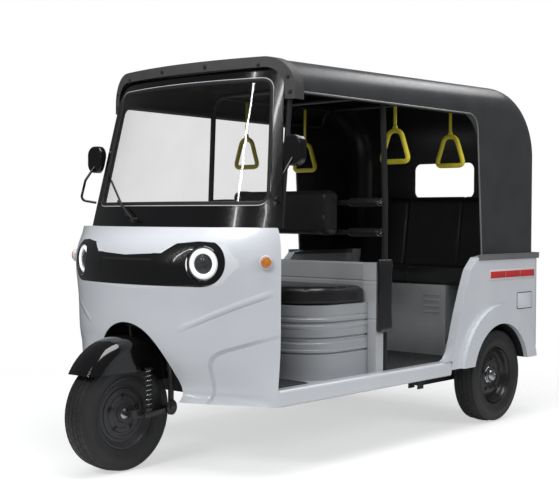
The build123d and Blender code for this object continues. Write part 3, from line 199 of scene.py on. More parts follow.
def paintMaterial(name, look):  # lacquered sheet: fine flake, slight orange peel, pressed shapes as bump
    tree = Tree(name)
    flake = tree.noise(look["flakeScale"], 1.0)
    cloud = tree.noise(3.0, 2.0)
    base = tree.mix(cloud.fit(0.3, 0.7) * 0.5 + flake.fit(0.35, 0.65) * 0.5, look["dark"], look["light"])
    if "innerWallShade" in look:  # painted shade: near-black on the inner wall of a body side
        innerWallShade = look["innerWallShade"]
        inner = tree.axis(0).calc("ABSOLUTE").fit(innerWallShade["half"], innerWallShade["half"] + 0.002, 1.0, 0.0)
        inner = inner * tree.axis(1).fit(innerWallShade["rear"], innerWallShade["rear"] + 0.002, 1.0, 0.0)
        base = tree.mix(inner, base, innerWallShade["colour"])
    height = tree.noise(look["peelScale"], 2.0) * (look["peel"] * 0.001)
    if "relief" in look:
        height = height + cowlRelief(tree, look["relief"])
    if "band" in look:
        black, sunk = bandMask(tree, look["band"])
        base = tree.mix(black.fit(-0.0006, 0.0006), look["surround"], base)
        height = height + black.fit(0.0, 0.006) * -0.004 + sunk.fit(0.0, 0.01) * -0.006
    for level, half, depth in look.get("grooves", ()):  # level pressed lines, metres
        gap = (tree.axis(2) - level) / half
        height = height + (gap * gap * -1 + 1.0).calc("MAXIMUM", 0.0) * depth
    return tree.finish(base=base, rough=look["rough"], metal=look["metal"], coat=look["coat"],
                       coatRough=look["coatRough"], normal=tree.bump(height, 1.0, 1.0))


def grainMaterial(name, look):  # moulded or coated plastic, rubber or leather with a fine grain
    tree = Tree(name)
    cloud = tree.noise(look.get("cloudScale", 6.0), 4.0)
    base = tree.mix(cloud.fit(0.3, 0.7), look["dark"], look["light"])
    if "insideShade" in look:  # painted shade: darker on the faces that look into the cab and on those facing down
        into = tree.normal(0) * tree.axis(0).calc("SIGN") * -1
        inner = into.fit(0.05, 0.15).calc("MAXIMUM", (tree.normal(2) * -1).fit(0.1, 0.3))
        base = tree.mix(inner, base, look["insideShade"])
    grain = tree.cells(look["grainScale"]) * 0.6 + tree.noise(look["grainScale"] * 0.7, 2.0) * 0.4
    height = grain * (look["grain"] * 0.0006)
    if "ribs" in look:
        height = height + (tree.axis(0) * look["ribs"]).calc("SINE").fit(-0.3, 0.3) * look["ribDepth"]
    if "arch" in look:  # grey inside the cab; painted shade on the side towards the wheel
        arch = look["arch"]
        back, rise = tree.axis(1) - arch["y"], tree.axis(2) - arch["z"]
        reach = (rise * rise + back * back).calc("SQRT")
        base = tree.mix(reach.fit(arch["radius"], arch["radius"] + 0.002, 1.0, 0.0), base, arch["colour"])
    wear = tree.noise(look["grainScale"] * 0.05 + 8, 3.0)
    rough = wear.fit(0.3, 0.7, look["rough"] - 0.05, look["rough"] + 0.06)
    return tree.finish(base=base, rough=rough, normal=tree.bump(height, 1.0, 1.0),
                       coat=look.get("coat", 0.0), coatRough=look.get("coatRough", 0.1))


def glassMaterial(name, look):  # reflects more at a grazing angle, darkens a little throughout
    tree = Tree(name)
    facing = tree.make("ShaderNodeLayerWeight", {}, {"Blend": 0.5}, 1)
    mirror = facing ** 5 * 0.96 + 0.04
    film = tree.noise(5.0, 2.0).fit(0.3, 0.7, look["film"] * 0.9, look["film"] * 1.1)
    shade = mirror / (mirror + film)
    return tree.finish(base=tree.mix(shade, (0, 0, 0), (1, 1, 1)), metal=1.0, rough=look["rough"],
                       alpha=mirror + film)


def glowMaterial(name, look):  # lit or coloured lens with fine ribs across one axis
    tree = Tree(name)
    ripple = tree.noise(60.0, 2.0).fit(0.3, 0.7)
    ribs = (tree.axis(look["ribAxis"]) * look["ribs"]).calc("SINE")
    return tree.finish(base=tree.mix(ripple, look["dark"], look["light"]), rough=look["rough"],
                       glow=look["light"], glowPower=look["power"], coat=1.0, coatRough=0.03,
                       normal=tree.bump(ribs, 0.25, 0.001))


looks = {
    "bodyPaint": {"dark": (0.52, 0.54, 0.575), "light": (0.60, 0.62, 0.65), "flakeScale": 900.0,
                  "peelScale": 260.0, "peel": 0.02, "rough": 0.34, "metal": 0.12, "coat": 0.8,
                  "coatRough": 0.06},
    "seatShell": {"dark": (0.34, 0.35, 0.37), "light": (0.43, 0.44, 0.46), "flakeScale": 700.0,
                  "peelScale": 180.0, "peel": 0.05, "rough": 0.38, "metal": 0.35, "coat": 0.4,
                  "coatRough": 0.15, "grooves": ((0.646, 0.008, -0.004), (0.600, 0.010, 0.004),
                                                 (0.534, 0.008, -0.004), (0.490, 0.010, 0.004))},
    "partitionPaint": {"dark": (0.46, 0.47, 0.485), "light": (0.56, 0.57, 0.58), "flakeScale": 700.0,
                       "peelScale": 180.0, "peel": 0.04, "rough": 0.36, "metal": 0.3, "coat": 0.4,
                       "coatRough": 0.12, "grooves": ((0.80, 0.006, -0.003), (0.62, 0.006, -0.003))},
    "glossBlack": {"dark": (0.003, 0.003, 0.0033), "light": (0.006, 0.006, 0.0065), "flakeScale": 500.0,
                   "peelScale": 120.0, "peel": 0.02, "rough": 0.12, "metal": 0.0, "coat": 0.45,
                   "coatRough": 0.03},
    "bandPaint": {"dark": (0.003, 0.003, 0.0033), "light": (0.006, 0.006, 0.0065), "flakeScale": 500.0,
                  "peelScale": 120.0, "peel": 0.02, "rough": 0.2, "metal": 0.0, "coat": 0.8,
                  "coatRough": 0.03, "band": bandLook, "surround": (0.57, 0.585, 0.61)},
    "blackSteel": {"dark": (0.014, 0.014, 0.015), "light": (0.024, 0.024, 0.026), "flakeScale": 400.0,
                   "peelScale": 150.0, "peel": 0.08, "rough": 0.36, "metal": 0.1, "coat": 0.4,
                   "coatRough": 0.15},
    "brightSteel": {"dark": (0.50, 0.51, 0.53), "light": (0.72, 0.73, 0.75), "flakeScale": 300.0,
                    "peelScale": 200.0, "peel": 0.04, "rough": 0.24, "metal": 1.0, "coat": 0.0,
                    "coatRough": 0.1},
    "paleTrim": {"dark": (0.50, 0.46, 0.48), "light": (0.60, 0.55, 0.58), "flakeScale": 300.0,
                 "peelScale": 200.0, "peel": 0.02, "rough": 0.35, "metal": 0.0, "coat": 0.4,
                 "coatRough": 0.1},
    "greyTrim": {"dark": (0.12, 0.12, 0.122), "light": (0.17, 0.17, 0.173), "flakeScale": 300.0,
                 "peelScale": 200.0, "peel": 0.03, "rough": 0.36, "metal": 0.1, "coat": 0.4,
                 "coatRough": 0.12},
    "reflectorRed": {"dark": (0.42, 0.018, 0.018), "light": (0.52, 0.03, 0.03), "flakeScale": 900.0,
                     "peelScale": 500.0, "peel": 0.3, "rough": 0.25, "metal": 0.0, "coat": 1.0,
                     "coatRough": 0.05},
    "yellowHandle": {"dark": (0.50, 0.42, 0.02), "light": (0.62, 0.53, 0.04), "flakeScale": 300.0,
                     "peelScale": 150.0, "peel": 0.05, "rough": 0.36, "metal": 0.0, "coat": 0.3,
                     "coatRough": 0.2},
    "drumSteel": {"dark": (0.05, 0.05, 0.052), "light": (0.09, 0.09, 0.093), "flakeScale": 260.0,
                  "peelScale": 90.0, "peel": 0.5, "rough": 0.42, "metal": 0.6, "coat": 0.0,
                  "coatRough": 0.2},
}
looks["cowlPaint"] = {**looks["bodyPaint"], "relief": reliefLook}
# sidePaint: near-black painted shade on the inner wall of each rear quarter
looks["sidePaint"] = {**looks["bodyPaint"],
                      "innerWallShade": {"half": 0.604, "rear": 1.388, "colour": (0.02, 0.02, 0.021)}}
grains = {
    # roofSkin and capPlastic: near-black painted shade on their faces inside the cab and facing down
    "roofSkin": {"dark": (0.030, 0.031, 0.033), "light": (0.038, 0.039, 0.042), "grainScale": 900.0,
                 "rough": 0.33, "grain": 0.05, "coat": 0.35, "coatRough": 0.3,
                 "insideShade": (0.012, 0.011, 0.010)},
    "capPlastic": {"dark": (0.046, 0.046, 0.046), "light": (0.06, 0.06, 0.06), "grainScale": 1100.0,
                   "rough": 0.46, "grain": 0.15, "insideShade": (0.012, 0.011, 0.010)},
    "blackPlastic": {"dark": (0.012, 0.012, 0.013), "light": (0.02, 0.02, 0.021), "grainScale": 900.0,
                     "rough": 0.5, "grain": 0.2},
    "greyPlastic": {"dark": (0.24, 0.245, 0.25), "light": (0.31, 0.315, 0.32), "grainScale": 900.0,
                    "rough": 0.45, "grain": 0.15},
    # housePlastic: near-black painted shade on the side towards the wheel
    "housePlastic": {"dark": (0.24, 0.245, 0.25), "light": (0.31, 0.315, 0.32), "grainScale": 900.0,
                     "rough": 0.45, "grain": 0.15,
                     "arch": {"y": 0.935, "z": 0.250, "radius": 0.2895, "colour": (0.012, 0.012, 0.013)}},
    "tyreRubber": {"dark": (0.017, 0.017, 0.018), "light": (0.026, 0.026, 0.027), "grainScale": 700.0,
                   "rough": 0.5, "grain": 0.2},
    "matRubber": {"dark": (0.03, 0.031, 0.032), "light": (0.045, 0.046, 0.048), "grainScale": 800.0,
                  "rough": 0.5, "grain": 0.2, "ribs": 260.0, "ribDepth": 0.0025},
    "leatherette": {"dark": (0.010, 0.010, 0.011), "light": (0.018, 0.018, 0.019), "grainScale": 420.0,
                    "rough": 0.34, "grain": 0.35, "coat": 0.25, "coatRough": 0.2},
    "lensMesh": {"dark": (0.015, 0.015, 0.016), "light": (0.05, 0.05, 0.052), "grainScale": 260.0,
                 "rough": 0.3, "grain": 2.5, "coat": 1.0, "coatRough": 0.02, "cloudScale": 90.0},
}
materials = {name: paintMaterial(name, look) for name, look in looks.items()}
materials.update({name: grainMaterial(name, look) for name, look in grains.items()})
materials["clearGlass"] = glassMaterial("clearGlass", {"rough": 0.0, "film": 0.1})
glows = {
    "lampRing": {"dark": (0.75, 0.77, 0.8), "light": (0.9, 0.92, 0.95), "rough": 0.2, "power": 0.45,
                 "ribs": 500, "ribAxis": 0},
    "amberLens": {"dark": (0.42, 0.13, 0.01), "light": (0.52, 0.18, 0.02), "rough": 0.15, "power": 0.04,
                  "ribs": 500, "ribAxis": 2},
    "redLens": {"dark": (0.35, 0.006, 0.008), "light": (0.48, 0.012, 0.016), "rough": 0.15, "power": 0.04,
                "ribs": 500, "ribAxis": 2},
}
materials.update({name: glowMaterial(name, look) for name, look in glows.items()})
print("materials ready")

nodeFinish = {  # finish of each part that comes from the frame
    "cowlPaint": "front_cowl", "bodyPaint": "rear_panel floor_pan",
    "sidePaint": "rear_quarter_L rear_quarter_R",
    "partitionPaint": "partition", "seatShell": "seat_base", "greyPlastic": "rear_seat_base",
    "housePlastic": "wheel_house_L wheel_house_R",
    "bandPaint": "headlamp_band",
    "glossBlack": "windscreen_surround mudguard mirror_L mirror_R headlamp_L headlamp_R",
    "roofSkin": "roof_shell", "capPlastic": "roof_cap",
    "blackPlastic": "arch_liner dashboard rear_bumper wiper battery_block",
    "blackSteel": "chassis_frame front_frame roof_frame partition_bars steering_fork front_link handlebar "
                  "rear_axle rim_F rim_RL rim_RR",
    "brightSteel": "front_spring_L front_spring_R rear_spring_L rear_spring_R",
    "tyreRubber": "tyre_F tyre_RL tyre_RR", "matRubber": "front_mat rear_mat",
    "leatherette": "driver_backrest seat_cushion rear_seat_cushion rear_seat_back post_pad_L post_pad_R",
    "yellowHandle": "grab_handle_L1 grab_handle_L2 grab_handle_R1 grab_handle_R2",
    "clearGlass": "windscreen_glass", "amberLens": "indicator_L indicator_R",
    "redLens": "tail_lamp_L tail_lamp_R",
}
for finish, names in nodeFinish.items():
    for name in names.split():
        mesh = nodes[name].data
        mesh.materials.clear()
        mesh.materials.append(materials[finish])


# shape toolkit: millimetres in, metres out

def flush(build, name, finishes, body, swaps=(), sharp=35.0):  # finished mesh becomes a piece
    bmesh.ops.remove_doubles(build, verts=build.verts, dist=0.0001)
    bmesh.ops.recalc_face_normals(build, faces=build.faces)
    mesh = bpy.data.meshes.new(name)
    build.to_mesh(mesh)
    build.free()
    return settle(mesh, name, finishes, body, swaps, sharp)


def settle(mesh, name, finishes, body, swaps=(), sharp=35.0):
    mesh.shade_smooth()
    mesh.set_sharp_from_angle(angle=radians(sharp))
    if finishes:
        mesh.materials.clear()
        for finish in finishes:
            mesh.materials.append(materials[finish])
    piece = bpy.data.objects.new(name, mesh)
    bpy.context.collection.objects.link(piece)
    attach(piece, body)
    if swaps:
        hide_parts(*swaps)
    return piece


def milli(point):
    return Vector(point) / 1000


def turned(build, rows, centre, aim=(1, 0, 0), steps=48):  # lathe: rows of (along, radius)
    axis = Vector(aim).normalized()
    side = axis.orthogonal().normalized()
    other = axis.cross(side)
    rings = []
    for along, radius in rows:
        middle = Vector(centre) + axis * along
        if radius < 0.01:
            rings.append([build.verts.new(middle / 1000)])
        else:
            spokes = [side * cos(2 * pi * k / steps) + other * sin(2 * pi * k / steps) for k in range(steps)]
            rings.append([build.verts.new((middle + spoke * radius) / 1000) for spoke in spokes])
    for first, second in zip(rings, rings[1:]):
        for k in range(steps):
            after = (k + 1) % steps
            if len(first) == 1 and len(second) == 1:
                continue
            corners = [first[k % len(first)], second[k % len(second)],
                       second[after % len(second)], first[after % len(first)]]
            build.faces.new(list(dict.fromkeys(corners)))


def rounded(points, radius, steps=6, closed=False):  # bends the corners of a run of points
    points = [Vector(p) for p in points]
    count = len(points)
    out = []
    for k, here in enumerate(points):
        if not closed and k in (0, count - 1):
            out.append(here)
            continue
        before, after = points[k - 1], points[(k + 1) % count]
        reach = min(radius, (before - here).length * 0.48, (after - here).length * 0.48)
        start, end = here + (before - here).normalized() * reach, here + (after - here).normalized() * reach
        for step in range(steps + 1):
            t = step / steps
            out.append(start * (1 - t) ** 2 + here * 2 * t * (1 - t) + end * t ** 2)
    return out


def swept(build, path, section, closed=False, upright=(0, 0, 1), paint=0):  # section of (side, up) points
    path = [Vector(p) for p in path]
    count = len(path)
    rings = []
    for k, here in enumerate(path):
        before = path[k - 1] if closed or k else here
        after = path[(k + 1) % count] if closed or k < count - 1 else here
        along = (after - before).normalized()
        side = along.cross(Vector(upright))
        side = side.normalized() if side.length > 1e-4 else along.orthogonal().normalized()
        up = side.cross(along)
        rings.append([build.verts.new((here + side * a + up * b) / 1000) for a, b in section])
    size = len(section)
    pairs = list(zip(rings, rings[1:] + rings[:1])) if closed else list(zip(rings, rings[1:]))
    for first, second in pairs:
        for k in range(size):
            face = build.faces.new((first[k], first[(k + 1) % size], second[(k + 1) % size], second[k]))
            face.material_index = paint
    if not closed:
        for end in (rings[0], rings[-1]):
            build.faces.new(end).material_index = paint


def disc(radius, steps=10, wide=1.0):
    return [(radius * wide * cos(2 * pi * k / steps), radius * sin(2 * pi * k / steps)) for k in range(steps)]


def slab(build, outline, depth, bevel, paint=0):  # outline of 3-D points pushed along depth
    depth = Vector(depth) / 1000
    low = [build.verts.new(milli(p)) for p in outline]
    high = [build.verts.new(milli(p) + depth) for p in outline]
    faces = [build.faces.new(low), build.faces.new(list(reversed(high)))]
    for k in range(len(outline)):
        after = (k + 1) % len(outline)
        faces.append(build.faces.new((low[after], low[k], high[k], high[after])))
    for face in faces:
        face.material_index = paint
    if bevel:
        rims = list(faces[1].edges) + list(faces[0].edges)
        bmesh.ops.bevel(build, geom=rims, offset=bevel / 1000, segments=2, affect="EDGES", profile=0.5)


screenLook = {"footZ": 1055.3, "headZ": 1735, "half": (619, 530), "bow": (119, 92), "y": (-806, -688)}


def screenDepth(x, z, ahead, look=screenLook):  # y of the windscreen's outer surface
    share = (z - look["footZ"]) / (look["headZ"] - look["footZ"])
    half, bow, edge = (look[key][0] + (look[key][1] - look[key][0]) * share for key in ("half", "bow", "y"))
    radius = (half ** 2 + bow ** 2) / (2 * bow)
    return edge - bow + radius - sqrt(radius ** 2 - x ** 2) - ahead


def spread(name, points, aims, head, finish, body):  # Geometry Nodes: one head on each point
    mesh = bpy.data.meshes.new(name)
    mesh.from_pydata([milli(p) for p in points], [], [])
    attribute = mesh.attributes.new("aim", "FLOAT_VECTOR", "POINT")
    for k, aim in enumerate(aims):
        attribute.data[k].vector = Vector(aim).normalized()
    holder = bpy.data.objects.new(name + "Seed", mesh)
    bpy.context.collection.objects.link(holder)
    group = bpy.data.node_groups.new(name + "Spread", "GeometryNodeTree")
    sockets = group.interface
    sockets.new_socket("Geometry", in_out="INPUT", socket_type="NodeSocketGeometry")
    sockets.new_socket("Head", in_out="INPUT", socket_type="NodeSocketObject")
    sockets.new_socket("Size", in_out="INPUT", socket_type="NodeSocketFloat")
    sockets.new_socket("Finish", in_out="INPUT", socket_type="NodeSocketMaterial")
    sockets.new_socket("Geometry", in_out="OUTPUT", socket_type="NodeSocketGeometry")
    made, link = group.nodes, group.links.new
    enter, leave = made.new("NodeGroupInput"), made.new("NodeGroupOutput")
    info, named = made.new("GeometryNodeObjectInfo"), made.new("GeometryNodeInputNamedAttribute")
    turn, place = made.new("FunctionNodeAlignRotationToVector"), made.new("GeometryNodeInstanceOnPoints")
    real, coat = made.new("GeometryNodeRealizeInstances"), made.new("GeometryNodeSetMaterial")
    named.data_type = "FLOAT_VECTOR"
    named.inputs["Name"].default_value = "aim"
    turn.axis = "Z"
    link(enter.outputs["Geometry"], place.inputs["Points"])
    link(enter.outputs["Head"], info.inputs["Object"])
    link(info.outputs["Geometry"], place.inputs["Instance"])
    link(named.outputs["Attribute"], turn.inputs["Vector"])
    link(turn.outputs["Rotation"], place.inputs["Rotation"])
    link(enter.outputs["Size"], place.inputs["Scale"])
    link(place.outputs["Instances"], real.inputs["Geometry"])
    link(real.outputs["Geometry"], coat.inputs["Geometry"])
    link(enter.outputs["Finish"], coat.inputs["Material"])
    link(coat.outputs["Geometry"], leave.inputs["Geometry"])
    modifier = holder.modifiers.new("spread", "NODES")
    modifier.node_group = group
    keys = {item.name: item.identifier for item in group.interface.items_tree if item.in_out == "INPUT"}
    modifier[keys["Head"]] = head
    modifier[keys["Size"]] = 1.0
    modifier[keys["Finish"]] = materials[finish]
    bpy.context.view_layer.update()
    solid = bpy.data.meshes.new_from_object(holder.evaluated_get(bpy.context.evaluated_depsgraph_get()))
    bpy.data.objects.remove(holder)
    solid.name = name
    return settle(solid, name, [finish], body)


def seed(name, build):  # hidden source shape for a spread
    mesh = bpy.data.meshes.new(name)
    build.to_mesh(mesh)
    build.free()
    return bpy.data.objects.new(name, mesh)


def boltSeed(name, radius, height):  # washer, six-sided head and a low crown, along +Z
    build = bmesh.new()
    turned(build, [(0, 0), (0, radius * 1.45), (height * 0.2, radius * 1.4), (height * 0.24, radius * 1.02),
                   (height * 0.25, 0)], (0, 0, 0), (0, 0, 1), 18)
    turned(build, [(0, 0), (height * 0.2, radius), (height * 0.9, radius), (height, radius * 0.8),
                   (height * 1.04, 0)], (0, 0, 0), (0, 0, 1), 6)
    return seed(name, build)


wheelLook = {"radius": 250, "half": 65, "beadRadius": 153, "lugs": 46, "lugDepth": 2.4,
             "lugRoot": 4, "lugSink": 0.6, "lugHalf": 0.47, "lugSlant": 0.12, "bolts": 5}
wheelRows = (  # tag, body, centre, side that the disc faces, 0 for the drum plates in front
    ("F", "front_wheel", (0, -1169, 250), 0),
    ("RL", "rear_wheel_L", (560, 972, 250), 1),
    ("RR", "rear_wheel_R", (-560, 972, 250), -1),
)
lugRows = (  # inner and outer edge in shares of the half width, shift in pitches
    (-0.78, -0.40, 0.0), (-0.36, -0.03, 0.5), (0.03, 0.36, 0.0), (0.40, 0.78, 0.5))


def crown(along, half, radius):  # radius of the tread, which falls away to its shoulders
    return radius - 9 * (along / (half * 0.86)) ** 2 if abs(along) < half * 0.86 else radius - 16


def lugSeed(look):
    build = bmesh.new()
    half, radius = look["half"], look["radius"]
    pitch = 2 * pi / look["lugs"]
    for low, high, shift in lugRows:
        corners = []
        for deep in (look["lugDepth"] + look["lugRoot"], 0):
            for along, turn in ((low, -1), (high, -1), (high, 1), (low, 1)):
                angle = pitch * (turn * look["lugHalf"] + shift + look["lugSlant"] * along)
                reach = crown(along * half, half, radius) - look["lugSink"] - deep
                corners.append(build.verts.new((along * half / 1000, reach * cos(angle) / 1000,
                                                reach * sin(angle) / 1000)))
        foot, face = corners[:4], corners[4:]
        build.faces.new(face)
        for k in range(4):
            build.faces.new((foot[k], foot[(k + 1) % 4], face[(k + 1) % 4], face[k]))
    bmesh.ops.recalc_face_normals(build, faces=build.faces)
    mesh = bpy.data.meshes.new("lugs")
    build.to_mesh(mesh)
    build.free()
    return mesh


def addTyre(tag, body, centre, look):
    half, radius, bead = look["half"], look["radius"], look["beadRadius"]
    base = radius - look["lugDepth"]
    side = [(0.80 * half, bead), (0.90 * half, bead + 4), (0.93 * half, bead + 9), (0.90 * half, bead + 13),
            (0.95 * half, bead + 20), (half, bead + 42), (half + 0.8, bead + 46), (half, bead + 50),
            (0.985 * half, bead + 66), (0.96 * half, bead + 76), (0.965 * half, bead + 79),
            (0.93 * half, bead + 82), (0.86 * half, base - 4), (0.80 * half, base - 4.5)]
    tread = [(along * half, crown(along * half, half, base)) for along in (0.6, 0.4, 0.2, 0.0)]
    rows = side + tread
    rows += [(-along, reach) for along, reach in reversed(rows[:-1])]
    rows += [(-0.7 * half, bead - 2), (0.7 * half, bead - 2), rows[0]]
    build = bmesh.new()
    turned(build, rows, centre, steps=96)
    lugs = lugSeed(look)
    for turn in range(look["lugs"]):
        copy = lugs.copy()
        spin = Matrix.Rotation(2 * pi * turn / look["lugs"], 4, "X")
        copy.transform(Matrix.Translation(milli(centre)) @ spin)
        build.from_mesh(copy)
        bpy.data.meshes.remove(copy)
    bpy.data.meshes.remove(lugs)
    flush(build, "tyreDressed" + tag, ["tyreRubber"], body, ["tyre_" + tag], 40)


rimProfiles = {  # along the axle from the middle of the tyre, and radius
    "disc": [(50, 146), (46, 143), (30, 136), (14, 133), (8, 126), (12, 112), (24, 98), (27, 86), (25, 70),
             (16, 62), (15, 44), (0, 44), (0, 120), (-20, 136), (-50, 141), (-50, 146)],
    "discHub": [(14, 40), (22, 40), (24, 35), (38, 32), (43, 26), (44.5, 12), (42, 10), (42, 0)],
    "drum": [(50, 146), (46, 143), (38, 138), (34, 128), (30, 124), (31, 112), (36, 108), (37, 100), (33, 97),
             (33, 84), (38, 80), (39, 66), (35, 62), (36, 40), (43, 37), (44, 24), (40, 21), (40, 0)],
    "drumHub": [(38, 24), (46, 22), (49, 14), (50, 8), (50, 0)],
    "lip": [(-50, 146), (-50, 152), (-46, 152.6), (-42, 148), (-24, 141), (24, 141), (42, 148), (46, 152.6),
            (50, 152), (50, 146)],
}
rimLooks = {"disc": {"finish": "blackSteel", "boltFinish": "drumSteel", "boltRing": 86, "boltSeat": 27},
            "drum": {"finish": "drumSteel", "boltFinish": "blackSteel", "boltRing": 74, "boltSeat": 38.5}}


def addRim(tag, body, centre, outer, bolts):
    kind = "disc" if outer else "drum"
    look = rimLooks[kind]
    sides = (outer,) if outer else (1, -1)
    build = bmesh.new()
    for side in sides:
        turned(build, [(side * along, radius) for along, radius in rimProfiles[kind]], centre, steps=64)
    if not outer:
        turned(build, rimProfiles["lip"], centre, steps=64)
    flush(build, "rimDressed" + tag, [look["finish"]], body, ["rim_" + tag], 40)
    build = bmesh.new()
    for side in sides:
        hub = [(side * along, radius) for along, radius in rimProfiles[kind + "Hub"]]
        turned(build, hub, centre, steps=40)
    flush(build, "hubCap" + tag, ["brightSteel"], body, (), 40)
    x, y, z = centre
    spots, aims = [], []
    for side in sides:
        for k in range(bolts):
            angle = 2 * pi * k / bolts + 0.3
            spots.append((x + side * look["boltSeat"], y + look["boltRing"] * cos(angle),
                          z + look["boltRing"] * sin(angle)))
            aims.append((side, 0, 0))
    spread("wheelBolts" + tag, spots, aims, wheelBolt, look["boltFinish"], body)


wheelBolt = boltSeed("wheelBolt", 9, 9)
for tag, body, centre, outer in wheelRows:
    addTyre(tag, body, centre, wheelLook)
    addRim(tag, body, centre, outer, wheelLook["bolts"])
print("wheels ready")


softLook = {"pressure": 4.0, "frames": 20, "quality": 4, "smoothing": 4, "out": 4, "over": 6, "lift": 0.4}
softRows = (  # node, voxel, cap on the bulge, draw-in, seams (axis, places, half width, depth), fill
    ("seat_cushion", 6, 8, 4, (), 0.85),
    ("rear_seat_cushion", 7, 14, 10, ((0, (-190, 190), 12, 6),), 0.85),
    ("rear_seat_back", 7, 13, 10, ((0, (-190, 190), 12, 5),), 0.8),
    ("driver_backrest", 6, 10, 8, (), 0.85),
    ("post_pad_L", 5, 6, 5, (), 0.8),
    ("post_pad_R", 5, 6, 5, (), 0.8),
)


def startSoft(row):  # closed copy of the solid, drawn in and remeshed
    node, voxel, shrink = row[0], row[1], row[3]
    low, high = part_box(node)
    middle = (Vector(low) + Vector(high)) / 2
    size = Vector(high) - Vector(low)
    mesh = nodes[node].data.copy()
    mesh.transform(nodes[node].matrix_world)
    build = bmesh.new()
    build.from_mesh(mesh)
    bmesh.ops.remove_doubles(build, verts=build.verts, dist=0.00005)
    for vert in build.verts:
        for k in range(3):
            vert.co[k] = middle[k] + (vert.co[k] - middle[k]) * (1 - 2 * shrink / 1000 / size[k])
    build.to_mesh(mesh)
    build.free()
    mesh.name = node + "Soft"
    mesh.materials.clear()
    piece = bpy.data.objects.new(node + "Soft", mesh)
    bpy.context.collection.objects.link(piece)
    remesh = piece.modifiers.new("remesh", "REMESH")
    remesh.mode, remesh.voxel_size = "VOXEL", voxel / 1000
    remesh.use_smooth_shade = True
    return bakeDown(piece)


def bakeDown(piece):  # modifiers into the mesh
    bpy.context.view_layer.update()
    solid = bpy.data.meshes.new_from_object(piece.evaluated_get(bpy.context.evaluated_depsgraph_get()))
    old = piece.data
    piece.modifiers.clear()
    piece.data = solid
    bpy.data.meshes.remove(old)
    return piece


def inflate(pieces, rows, look):  # one cloth simulation for all the padded pieces
    before = [[vert.co.copy() for vert in piece.data.vertices] for piece in pieces]
    for piece in pieces:
        cloth = piece.modifiers.new("cloth", "CLOTH")
        cloth.settings.use_pressure = True
        cloth.settings.uniform_pressure_force = look["pressure"]
        cloth.settings.effector_weights.gravity = 0
        cloth.settings.quality = look["quality"]
        cloth.collision_settings.use_collision = False
        cloth.point_cache.frame_start, cloth.point_cache.frame_end = 1, look["frames"]
    for step in range(1, look["frames"] + 1):
        bpy.context.scene.frame_set(step)
    graph = bpy.context.evaluated_depsgraph_get()
    for piece, rest, row in zip(pieces, before, rows):
        cap = row[2] / 1000
        moved = piece.evaluated_get(graph).to_mesh()
        after = [vert.co.copy() for vert in moved.vertices]
        piece.evaluated_get(graph).to_mesh_clear()
        for k, vert in enumerate(piece.data.vertices):
            shift = after[k] - rest[k]
            if shift.length > cap:
                shift = shift.normalized() * cap
            vert.co = rest[k] + shift
        piece.modifiers.clear()
    bpy.context.scene.frame_set(1)


def finishSoft(piece, row, look):  # smoothed, seams pressed in, kept near the solid's box
    node, seams, fill = row[0], row[4], row[5]
    low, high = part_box(node)
    build = bmesh.new()
    build.from_mesh(piece.data)
    for turn in range(look["smoothing"]):
        bmesh.ops.smooth_vert(build, verts=build.verts, factor=0.5, use_axis_x=True, use_axis_y=True,
                              use_axis_z=True)
    build.normal_update()
    for vert in build.verts:
        for axis, places, half, depth in seams:
            for place in places:
                near = abs(vert.co[axis] - place / 1000) / (half / 1000)
                if near < 1:
                    vert.co -= vert.normal * (depth / 1000) * (1 - near * near) ** 2
        for k in range(3):
            vert.co[k] = min(max(vert.co[k], low[k] - look["out"] / 1000), high[k] + look["over"] / 1000)
        vert.co.z = max(vert.co.z, low[2] + look["lift"] / 1000)
    build.to_mesh(piece.data)
    build.free()
    subdivide = piece.modifiers.new("subdivide", "SUBSURF")
    subdivide.levels = subdivide.render_levels = 1
    bakeDown(piece)
    piece.data.shade_smooth()
    piece.data.materials.clear()
    piece.data.materials.append(materials["leatherette"])
    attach(piece, "body")
    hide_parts(node)


softPieces = [startSoft(row) for row in softRows]
inflate(softPieces, softRows, softLook)
for piece, row in zip(softPieces, softRows):
    finishSoft(piece, row, softLook)
print("soft goods ready")


sleeveLook = {"inner": 375, "outer": 556, "y": -19, "levels": (1030, 1175), "radius": 20, "bore": 13.2}


def addSleeve(name, x0, x1, z, look):  # padded sleeve round a partition bar
    radius, bore = look["radius"], look["bore"]
    rows = [(x0, bore), (x0, radius - 4), (x0 + 3, radius - 1), (x0 + 12, radius + 0.6),
            ((x0 + x1) / 2, radius + 1.6), (x1 - 12, radius + 0.6), (x1 - 3, radius - 1), (x1, radius - 4),
            (x1, bore), (x0, bore)]
    build = bmesh.new()
    turned(build, rows, (0, look["y"], z), steps=32)
    piece = flush(build, name, ["leatherette"], "body")


for side, tag in ((1, "L"), (-1, "R")):
    low, high = sorted((side * sleeveLook["inner"], side * sleeveLook["outer"]))
    for level, height in enumerate(sleeveLook["levels"]):
        addSleeve(f"barSleeve{tag}{level}", low, high, height, sleeveLook)


lampLook = {"x": 391, "y": -1040, "z": 903, "splay": 19, "bezel": 76, "ring": 66, "lens": 42, "ticks": 24}


